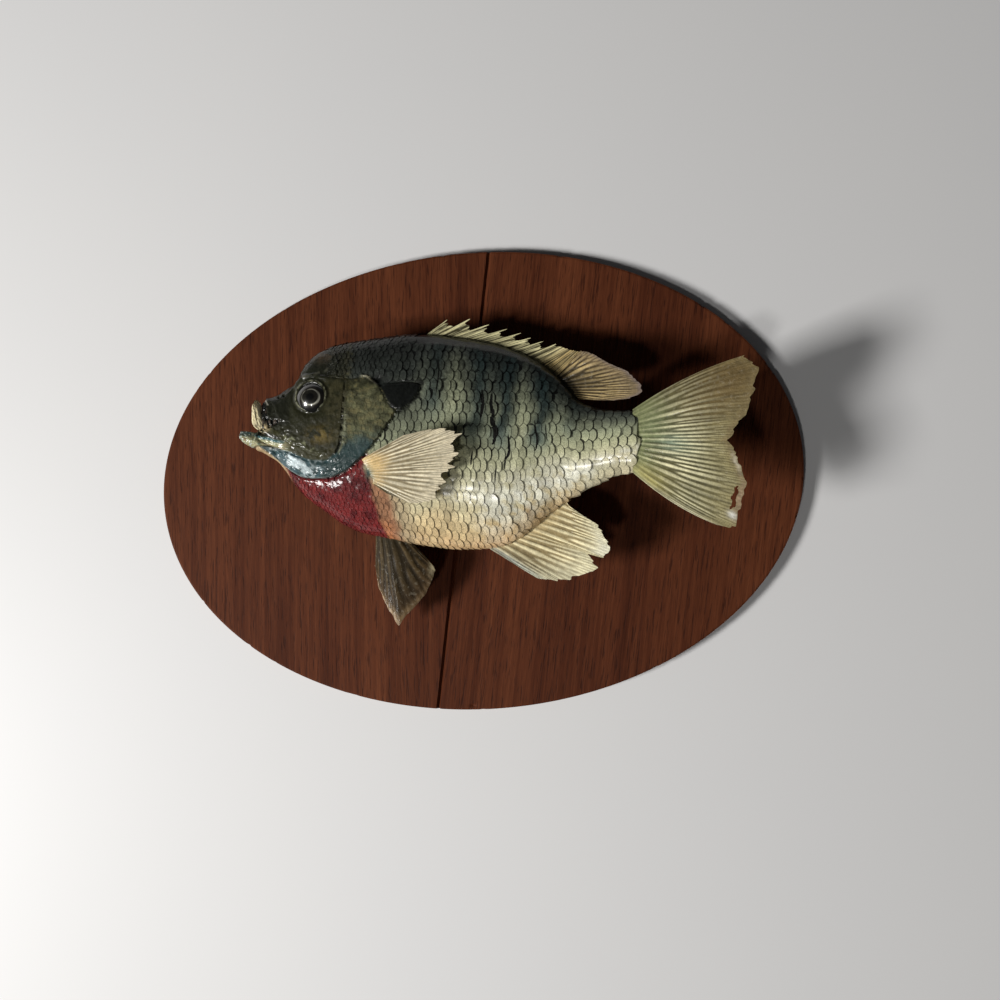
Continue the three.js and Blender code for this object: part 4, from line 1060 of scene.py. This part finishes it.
fins = {
    "dorsal_soft": {
        "node": "dorsal_fin_soft", "height": median, "rays": 11, "size": [200, 60],
        "roots": [[36.5, 42.5], [45.4, 33.2]],
        "tips": [[47.9, 53], [51.5, 52], [55.5, 49.8], [61.6, 46.2], [66.7, 43.4], [70, 40.6], [72.3, 38.1],
                 [73, 35.6], [71.5, 34], [67.5, 32.5], [61.6, 31.9], [55.5, 32.2], [51, 32.6]],
        # its dark root colour and first stain are painted shadow along the fin's base
        "ray": [.56, .42, .2], "web": [.06, .04, .015], "root": [.02, .015, .007], "tip": [.23, .17, .1],
        "stainsAndShade": [[0.3, 0.26, 0.4, 0.22, [.04, .03, .014], 0.75], [0.5, 1, 0.5, 0.05, [.2, .16, .17], 0.6]],
        "ragged": 0.012, "seed": 101,
    },
    "anal": {
        "node": "anal_fin", "height": median, "rays": 13, "size": [240, 70],
        "roots": [[5.5, -26], [22, -19.5], [40.5, -7.4]],
        "tips": [[30.1, -41], [36, -42.2], [42.5, -42.6], [51.2, -39], [55.6, -36], [52.5, -30.8], [57.4, -32],
                 [60.2, -32.6], [61.9, -27.8], [61.2, -26], [57.4, -21.6], [55.5, -18.6], [49, -14.7],
                 [43.5, -11.2]],
        "ray": [.9, .8, .5], "web": [.3, .23, .11], "root": [.74, .6, .34], "tip": [.84, .8, .55],
        "stainsAndShade": [[0.02, 0.5, 0.05, 0.6, [.62, .68, .62], 0.8], [0.1, 0.6, 0.1, 0.5, [.1, .08, .05], 0.5],
                   [0.75, 0.1, 0.3, 0.2, [.6, .46, .22], 0.6], [0.62, 0.95, 0.12, 0.1, [.8, .78, .62], 0.8]],
        "ragged": 0.03, "seed": 102,
    },
    "tail": {
        "node": ["tail_fin_upper", "tail_fin_lower"], "height": median, "rays": 17, "size": [420, 110],
        "rootThickness": 5.3, "bulge": 2.2, "forks": [0.32, 0.75], "strong": 0.5,
        "roots": [[68.6, 28.1], [68.6, 2.8]],
        "tips": [[111, 47.4], [113.5, 45.6], [116.4, 42.5], [115.3, 35.7], [113.9, 30], [112.1, 24.4],
                 [109.9, 22.3], [107.4, 18], [105.9, 14.8], [107.4, 11], [109.2, 7.1], [111.2, 2.5], [112.3, -1.6],
                 [111.2, -7.6], [109.5, -12.9], [108.5, -18.3], [105.6, -19.1], [101.9, -18.3]],
        "holes": [[0.775, 0.93, 0.052, 0.022]],
        "stainsAndShade": [[0.12, 0.85, 0.22, 0.45, [.13, .085, .03], 0.9], [0.5, 0.4, 0.09, 0.2, [.3, .42, .33], 0.45],
                   [0.9, 0.15, 0.12, 0.2, [.46, .4, .14], 0.7], [0.35, 0.2, 0.2, 0.16, [.25, .3, .15], 0.6],
                   [1.0, 0.6, 0.035, 0.5, [.66, .62, .42], 0.8], [0.45, 0.98, 0.4, 0.05, [.2, .15, .07], 0.8],
                   # the dark stain by the hole is painted shade of the curled flake
                   [0.6, 0.975, 0.05, 0.02, [.7, .64, .5], 0.6], [0.77, 0.98, 0.08, 0.03, [.3, .21, .13], 0.95],
                   [0.848, 0.955, 0.014, 0.04, [.85, .83, .75], 0.95]],
        "ray": [.84, .79, .5], "web": [.1, .09, .038], "root": [.27, .3, .14], "tip": [.3, .25, .11],
        "ragged": 0.012, "seed": 103,
    },
    "pectoral_left": {
        "node": "pectoral_fin_left", "height": laidOn(55, 46), "rays": 13, "size": [260, 80],
        "roots": [[-40.3, 8.2], [-38.6, 4], [-36.8, -1.2]],
        "tips": [[-20, 17.6], [-10.4, 19.6], [-6.5, 20.1], [-0.5, 20], [2.6, 18], [1, 15.2], [0.2, 12.6],
                 [1.8, 9.8], [-1.2, 7], [1, 5.4], [-4, 2.8], [-4.2, -1], [-6.1, -4], [-8.6, -8.2],
                 [-13.4, -10], [-20, -9.6], [-29, -6]],
        "ray": [.84, .76, .56], "web": [.26, .21, .12], "root": [.7, .52, .26], "tip": [.72, .64, .46],
        "stainsAndShade": [[0.3, 0.12, 0.4, 0.14, [.75, .52, .22], 0.6], [0.7, 0.02, 0.35, 0.06, [.05, .12, .11], 0.85]],
        "ragged": 0.035, "roughness": 0.3, "seed": 105,
    },
    "pectoral_right": {
        "node": "pectoral_fin_right", "height": swung(16.5, 7.9), "rays": 12, "size": [150, 50],
        "roots": [[-39.5, -2], [-34, -9]],
        "tips": [[-16, -10], [-10, -13.5], [-7, -18], [-6.5, -23], [-9, -27], [-15, -28.5], [-22, -26.5]],
        "ray": [.7, .62, .42], "web": [.4, .33, .17], "root": [.6, .42, .15], "tip": [.6, .54, .36],
        "ragged": 0.03, "seed": 106,
    },
    "pelvic_left": {
        "node": "pelvic_fin_left", "height": swung(30.5, 21), "rays": 6, "size": [180, 70],
        "roots": [[-38, -19.6], [-27, -22]],
        "tips": [[-40.2, -38.2], [-38.3, -46.8], [-35.2, -52.3], [-32.6, -56.4], [-29.4, -62.4], [-23.9, -56.1],
                 [-18.7, -50], [-15.3, -44.5], [-13.4, -39.4], [-14, -37.2], [-18, -32.6]],
        # its dark colours hold painted shade, the fin being turned away from the light
        "ray": [.085, .058, .026], "web": [.03, .021, .01], "root": [.035, .027, .013], "tip": [.05, .026, .01],
        "stainsAndShade": [[0.86, 0.93, 0.09, 0.07, [.55, .48, .3], 0.9], [0.4, 0.97, 0.25, 0.05, [.3, .2, .1], 0.6]],
        "roughness": 0.45, "ragged": 0.02, "seed": 107,
    },
    "pelvic_right": {
        "node": "pelvic_fin_right", "height": swung(24, 15), "rays": 6, "size": [160, 60],
        "roots": [[-38, -19.8], [-28.5, -22]],
        "tips": [[-41.5, -37], [-40, -46.6], [-37.5, -53], [-35.6, -56.6], [-31, -63.6], [-25.6, -57],
                 [-20.5, -49.8], [-17.6, -44], [-16.5, -38], [-20.5, -31.5]],
        "ray": [.3, .2, .1], "web": [.12, .08, .035], "root": [.05, .04, .02], "tip": [.45, .32, .2],
        "ragged": 0.02, "seed": 108,
    },
}


def makeFin(name, material):
    # a sheet: u runs across the rays and v out along them; rays are ridges that fork twice on their way out
    fin = fins[name]
    cols, rows = fin["size"]
    seed = fin["seed"]
    u = np.linspace(0, 1, cols)[:, None]
    v = np.linspace(0, 1, rows)[None]
    root, tip = evenly(fin["roots"], u[:, 0]), evenly(fin["tips"], u[:, 0])
    # the edge is torn between rays: short nicks, deeper here and there
    tear = mottle(u * fin["rays"] * 4, 0 * u, 1, seed) + 0.7 * mottle(u * fin["rays"] * 1.5, 0 * u, 1, seed + 9)
    out = v * (1 - fin["ragged"] * tear * 2)
    xy = root[:, None] + (tip - root)[:, None] * out[..., None]
    x = xy[..., 0]
    y = xy[..., 1] + fin.get("bulge", 0) * (1 - 2 * u) * 4 * out * (1 - out)
    wander = 0.5 * (mottle(u * 5, v * 2, 1, seed + 1) - 0.5)
    phase = np.pi * fin["rays"] * (u + wander / fin["rays"] * v)
    ridges = [np.abs(np.cos(phase * k)) ** power for k, power in ((1, 2.6), (2, 2), (4, 1.6))]
    first, second = fin.get("forks", (0.45, 0.8))
    fork, forkAgain = smooth(v, first, first + 0.2), smooth(v, second, second + 0.15)
    ridge = lerp(lerp(ridges[0], ridges[1], fork), ridges[2], forkAgain)
    # rays differ in strength, and stand out most near the middle of a strong fin
    uneven = 0.55 + 0.9 * mottle(u * fin["rays"], 0 * u, 1, seed + 5)
    if "strong" in fin:
        uneven = uneven * (0.4 + 1.7 * bell(u - fin["strong"], 0.22) * bell(v - 0.35, 0.28))
    round_ = np.clip(1 - (2 * u - 1) ** 4, 0, 1) ** 0.5
    thin = lerp(fin.get("rootThickness", 1.3) * round_, 0.3, np.minimum(1, v / 0.3) ** 0.8)
    high = 0.5 * thin + ridge * uneven * lerp(0.42, 0.13, v) * smooth(v, 0.02, 0.2)
    warp = 1.1 * v ** 1.5 * (mottle(u * 3.2, v * 1.6, 1, seed + 2) - 0.5)
    z = fin["height"](x, y, u, out) + warp
    top, under = np.stack([x, y, z + high], -1), np.stack([x, y, z - high], -1)
    keep = np.ones((cols - 1, rows - 1), bool)
    for holeU, holeV, wide, deep in fin.get("holes", ()):
        keep &= (((u[:-1] - holeU) / wide) ** 2 + ((v[:, :-1] - holeV) / deep) ** 2) > 1
    c = paint(np.broadcast_to(fin["web"], (*x.shape, 3)), fin["ray"], smooth(ridge, 0.15, 0.85) * np.minimum(uneven, 1))
    c = paint(c, fin["tip"], 0.8 * smooth(v, 0.55, 0.98) * (0.5 + 0.5 * ridge))
    c = paint(c, fin["root"], 0.85 * smooth(v, 0.34, 0.02) + 0 * x)
    # stains, some of them painted shade
    for spotU, spotV, wide, deep, colour, strength in fin.get("stainsAndShade", ()):
        c = paint(c, colour, strength * bell(np.hypot((u - spotU) / wide, (v - spotV) / deep), 1))
    streaks = mottle(u * fin["rays"] * 6, v * 1.5, 1, seed + 3)
    spots = mottle(x, y, 0.7, seed + 6)
    c = c * (0.5 + 0.5 * streaks + 0.3 * mottle(x, y, 1.9, seed + 4) + 0.3 * spots)[..., None]
    tint = np.concatenate([c, np.full((*x.shape, 1), fin.get("roughness", 0.38))], -1)
    points = np.concatenate([top.reshape(-1, 3), under.reshape(-1, 3)])
    piece = newPiece(name, points, sheetFaces(keep), material,
                     tint=np.vstack([tint.reshape(-1, 4)] * 2), sharp=60)
    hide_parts(*([fin["node"]] if isinstance(fin["node"], str) else fin["node"]))


spines = {
    "bases": [[-18.5, 60], [-13, 60], [-6.5, 59.5], [0.5, 58.5], [7, 57], [13, 55.5], [19, 53.5], [25, 51],
              [30, 48], [34, 45.6], [37.5, 42.6]],
    "tips": [[-8.4, 67.4], [1.4, 67.6], [9.4, 65], [17, 63.1], [22.9, 61.2], [27, 59], [32.1, 57.4],
             [37.5, 56.2], [42.3, 54], [44.8, 53.2], [48.2, 52.6]],
    "columns": 26,  # between one spine and the next
    "rows": 26, "halfWidth": 0.1, "seed": 120,
}


def makeSpines(material):
    # a sheet across all spines: each spine is a round ridge that ends in a point, and the torn web sags behind it
    count = len(spines["bases"]) - 1
    u = np.linspace(0, count, count * spines["columns"] + 1)[:, None]
    v = np.linspace(0, 1, spines["rows"])[None]
    root, tip = evenly(spines["bases"], u[:, 0] / count), evenly(spines["tips"], u[:, 0] / count)
    behind = u - np.floor(u + 1e-6)
    nearest = np.abs(u - np.round(u))
    onSpine = smooth(nearest, spines["halfWidth"], 0.02)
    web = lerp(0.95, 0.64, behind ** 0.7) - 0.16 * mottle(u * 7, 0 * u, 1, spines["seed"])
    web = lerp(web, 0.97, smooth(u, count - 3.4, count - 2.4))
    reach = lerp(web, 1, onSpine)
    xy = root[:, None] + (tip - root)[:, None] * (lerp(-0.12, 1, v) * reach)[..., None]
    x, y = xy[..., 0], xy[..., 1]
    point = smooth(v, 1.05, 0.4)
    high = 0.13 + 0.42 * onSpine * point + 0.35 * smooth(v, 0.3, 0)
    z = middleAt(x) + 0.7 * v * (mottle(u * 1.3, v, 1, spines["seed"] + 1) - 0.5)
    base = np.broadcast_to([.07, .06, .028], (*x.shape, 3))
    streak = 0.6 * mottle(u * 11, v * 1.1, 1, spines["seed"] + 3) + 0.4 * mottle(u * 26, v * 2, 1, spines["seed"] + 4)
    pale = np.maximum(onSpine, smooth(streak, 0.34, 0.58)) * smooth(v, 0.06, 0.3)
    straw = lerp(np.array([.8, .74, .42]), np.array([.5, .37, .16]), smooth(u, count - 3.5, count - 1)[..., None])
    c = lerp(base, straw + 0 * base, pale[..., None])
    c = c * (0.75 + 0.5 * mottle(u * 9, v * 3, 1, spines["seed"] + 2))[..., None]
    tint = np.concatenate([c, np.full((*x.shape, 1), 0.4)], -1)
    points = np.concatenate([np.stack([x, y, z + high], -1).reshape(-1, 3), np.stack([x, y, z - high], -1).reshape(-1, 3)])
    keep = np.ones((x.shape[0] - 1, x.shape[1] - 1), bool)
    piece = newPiece("dorsal_spines", points, sheetFaces(keep), material,
                     tint=np.vstack([tint.reshape(-1, 4)] * 2), sharp=60)
    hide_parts("dorsal_fin_spiny")


def finFinish():
    m = Finish("dried fin under varnish")
    tint = m.attribute("tint", "Color")
    place_ = m.object()
    fine = m.noise(place_, 1800, 4)
    speck = m.noise(place_, 700, 3).between(0.56, 0.7)
    colour = m.mixed(0.1 * speck, m.shaded(tint, 0.7 + 0.6 * fine), (.75, .7, .55))
    return m.surface(colour=colour, roughness=0.32 + 0.3 * fine, specular=0.12, coat=0.22, coatRoughness=0.15,
                     normal=m.bump(fine, 0.6, 0.0004))


# Board

board = {
    "length": 283, "width": 200, "thickness": 6, "top": [14.1, 99], "foot": [-22.6, -100.2],
    "groove": [1.0, 1.3],  # half-width and depth of the V
    "rim": 0.35,  # how much the edge is rounded over
    "across": 300, "along": 170,
}


def bunched(count, power=0.5):
    # 0 to 1, closer together near both ends
    t = np.linspace(0, 1, count)
    return lerp(t, 0.5 - 0.5 * np.cos(np.pi * t), power)


def makeBoard(material):
    # chords run along the groove's line; q steps across them, closer at the groove, and t runs along each chord
    top, foot = np.array(board["top"]), np.array(board["foot"])
    down = (foot - top) / np.linalg.norm(foot - top)
    side = np.array([-down[1], down[0]])  # towards +x
    if side[0] < 0:
        side = -side
    a, b = board["length"] / 2, board["width"] / 2
    offset = (top * side).sum()
    reach = math.hypot(a * side[0], b * side[1])
    even = np.sort(np.concatenate([-reach * np.cos(np.pi * np.linspace(0, 1, board["across"])),
                                   offset + np.linspace(-1.6, 1.6, 33)]))[1:-1]
    q = np.concatenate([[-reach + 0.004], even, [reach - 0.004]])
    # a chord's ends on the ellipse: solve the quadratic along its line
    base = q[:, None] * side
    A = (down[0] / a) ** 2 + (down[1] / b) ** 2
    B = base[:, 0] * down[0] / a ** 2 + base[:, 1] * down[1] / b ** 2
    C = (base[:, 0] / a) ** 2 + (base[:, 1] / b) ** 2 - 1
    root = np.sqrt(np.maximum(B * B - A * C, 1e-9))
    low, high = (-B - root) / A, (-B + root) / A
    t = bunched(board["along"], 0.9)[None]
    xy = base[:, None] + lerp(low[:, None], high[:, None], t)[..., None] * down
    x, y = xy[..., 0], xy[..., 1]
    inside = (1 - np.hypot(x / a, y / b)) * np.hypot(x, y) / np.maximum(np.hypot(x / a, y / b), 1e-6)
    chips = mottle(x, y, 1.3, 131) * mottle(x, y, 5, 132)
    rim = board["rim"] * (0.6 + 2.6 * smooth(chips, 0.45, 0.8))
    fromGroove = q[:, None] - offset + 0 * t
    halfWidth, depth = board["groove"]
    ragged = 0.12 * (mottle(y, 0 * y, 2.5, 133) - 0.5)
    cut = depth * np.clip(1 - np.abs(fromGroove + ragged) / halfWidth, 0, 1)
    z = board["thickness"] - rim * bell(np.maximum(inside, 0), 0.45) - cut
    crackX, crackY = nearPath(x, y, np.array([[-7, -97.5], [-6.6, -99], [-7.2, -102]]))
    z = z - 0.8 * bell(crackX, 0.3)
    # each plank's own grain coordinates: across, along, and depth
    right = fromGroove > 0
    turn = math.atan2(down[0], -down[1]) * np.where(right, 1, 0.35)
    cosT, sinT = np.cos(turn), np.sin(turn)
    u = cosT * x + sinT * y
    v = -sinT * x + cosT * y
    grain = np.stack([u + np.where(right, 400, 0), v + np.where(right, 90, 0), z], -1)
    rows, cols = x.shape
    n = rows * cols
    under = np.stack([x, y, np.zeros_like(x)], -1)[:, [0, cols // 2, -1]].reshape(-1, 3)
    topPoints = np.stack([x, y, z], -1).reshape(-1, 3)
    points = np.vstack([topPoints, under])
    grains = np.vstack([grain.reshape(-1, 3), grain[:, [0, cols // 2, -1]].reshape(-1, 3) * [1, 1, 0]])
    faces = [gridFaces(rows, cols), gridFaces(rows, 3, n)[:, ::-1]]
    r = np.arange(rows - 1)
    faces.append(np.stack([r * cols, (r + 1) * cols, n + (r + 1) * 3, n + r * 3], -1))
    faces.append(np.stack([(r + 1) * cols + cols - 1, r * cols + cols - 1, n + r * 3 + 2, n + (r + 1) * 3 + 2], -1))
    faces = np.concatenate(faces)
    # the first and the last chord close on the middle of the chord under them
    fans = []
    for row, order in ((0, 1), (rows - 1, -1)):
        k = row * cols + np.arange(cols - 1)
        m = n + row * 3 + 1
        ends = [[k[0], m - 1, m], [m, m + 1, k[-1] + 1]]
        fans.append(np.vstack([np.stack([k + 1, k, np.full(cols - 1, m)], -1), ends])[:, ::order])
    flipped = not np.array_equal(outward(points, faces)[0], faces[0])
    fans = np.concatenate(fans)[:, ::-1 if flipped else 1]
    piece = newPiece("board_panel", points * mm, faces, material, extra={"grain": grains * mm},
                     fans=fans, sharp=35, placed=True)
    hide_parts("board")


def woodFinish():
    m = Finish("reddish brown veneer")
    grain = m.attribute("grain")
    x, y, z = m.parts(grain)
    long = m.stretched(grain, (1, 0.035, 1))
    bands = m.noise(long, 62, 4, 0.6, 0.6)
    streaks = m.noise(m.stretched(grain, (1, 0.02, 1)), 640, 5, 0.7)
    fine = m.noise(m.stretched(grain, (1, 0.05, 1)), 2300, 4, 0.7)
    poreLine = m.noise(m.stretched(grain, (1, 0.055, 1)), 1900, 2, 0.5)
    pores = poreLine.between(0.56, 0.68)
    colour = m.add("ShaderNodeValToRGB", {"stops": [(0.3, (.04, .0095, .0045)), (0.46, (.088, .024, .01)),
                                                    (0.6, (.142, .042, .017)), (0.72, (.2, .07, .028))]},
                   [0.55 * bands + 0.45 * streaks])
    colour = m.shaded(colour, 0.45 + 1.05 * fine)
    colour = m.mixed(0.6 * pores, colour, (.02, .006, .004))
    rough = 0.42 + 0.3 * fine
    height = 0.5 * fine + 0.5 * (1 - pores)
    edge = (z * 1000).between(5.2, 4.2)
    colour = m.mixed(edge * 0.8, colour, (.05, .018, .01))
    return m.surface(colour=colour, roughness=rough, specular=0.07, normal=m.bump(height, 0.35, 0.0003))


def screwFinish():
    m = Finish("zinc plated steel")
    fine = m.noise(m.object(), 900, 4)
    colour = m.mixed(fine, (.46, .45, .42), (.6, .6, .58))
    return m.surface(colour=colour, metallic=1.0, roughness=0.28 + 0.25 * fine, normal=m.bump(fine, 0.2, 0.0002))


# Room: floor, light and camera

room = {
    "eye": [57.6, -8.25, 440.6], "aim": [11.93, -8.25, 6],  # camera, in the fish's own frame
    "lens": 36,
    "lights": [{"from": [-0.72, -0.26, 0.62], "away": 1.5, "size": 0.34, "power": 20.5},
               {"from": [-0.2, -0.42, 0.88], "away": 1.5, "size": 0.14, "power": 3.2}],
    "sky": 0.03,
}


def makeRoom():
    floor = bpy.data.meshes.new("floor")
    far = 3
    floor.from_pydata([(-far, -far, 0), (far, -far, 0), (far, far, 0), (-far, far, 0)], [], [(0, 1, 2, 3)])
    m = Finish("pale table")
    cloud = m.noise(m.object(), 6, 3)
    floor.materials.append(m.surface(colour=m.mixed(cloud, (.84, .84, .85), (.87, .865, .86)), roughness=0.55))
    table = bpy.data.objects.new("floor", floor)
    bpy.context.scene.collection.objects.link(table)
    table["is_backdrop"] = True
    from mathutils import Matrix, Vector
    eyeAt, aim = (place(np.array(room[key], float)) for key in ("eye", "aim"))
    back = Vector(eyeAt - aim).normalized()
    up = Vector(place(np.array([0.0, 1, 0]))).normalized()
    right = up.cross(back).normalized()
    up = back.cross(right)
    camera = bpy.data.objects.new("camera", bpy.data.cameras.new("camera"))
    camera.matrix_world = Matrix([[*pair, at] for *pair, at in zip(right, up, back, eyeAt)] + [[0, 0, 0, 1]])
    camera.data.lens = room["lens"]
    camera.data.sensor_width = 36
    camera.data.clip_start = 0.01
    bpy.context.scene.collection.objects.link(camera)
    bpy.context.scene.camera = camera
    for k, data in enumerate(room["lights"]):
        lamp = bpy.data.objects.new(f"lamp_{k}", bpy.data.lights.new(f"lamp_{k}", "AREA"))
        toLight = Vector(place(np.array(data["from"], float))).normalized()
        lamp.location = toLight * data["away"]
        lamp.rotation_euler = toLight.to_track_quat("Z", "Y").to_euler()
        lamp.data.size = data["size"]
        lamp.data.energy = data["power"]
        lamp.data.color = (1, 0.985, 0.96)
        bpy.context.scene.collection.objects.link(lamp)
    world = bpy.data.worlds.new("room")
    world.use_nodes = True
    world.node_tree.nodes["Background"].inputs["Color"].default_value = (0.95, 0.97, 1, 1)
    world.node_tree.nodes["Background"].inputs["Strength"].default_value = room["sky"]
    bpy.context.scene.world = world
    bpy.context.scene.view_settings.view_transform = "Standard"


makeRoom()
print("room, light and camera")
skinCover = skinFinish()
makeSkin(skinCover)
scaleCover = scaleFinish()
makeScales("scales_left_front", ["flank"], 1, scaleCover, toX=20)
makeScales("scales_left_rear", ["flank"], 1, scaleCover, fromX=20)
makeScales("scales_left_small", ["nape", "breast", "cover"], 1, scaleCover)
makeScales("scales_right", ["flank"], -1, scaleCover)
makeScales("scales_right_small", ["nape", "breast", "cover"], -1, scaleCover)
glass = eyeFinish()
makeEye("glass_eye_left", "eye_left", 1, glass)
makeEye("glass_eye_right", "eye_right", -1, glass)
makeFiller(fillerFinish())
finCover = finFinish()
for finName in fins:
    makeFin(finName, finCover)
makeSpines(finCover)
makeBoard(woodFinish())
steel = screwFinish()
for nodeName in ("screw_front", "screw_rear"):
    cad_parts[nodeName].material_slots[0].material = steel
print("all pieces made")

bpy.context.view_layer.update()
({"cad": [list(map(float, corner)) for corner in cadBox],
           "visual": [list(map(float, corner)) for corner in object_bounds()]})
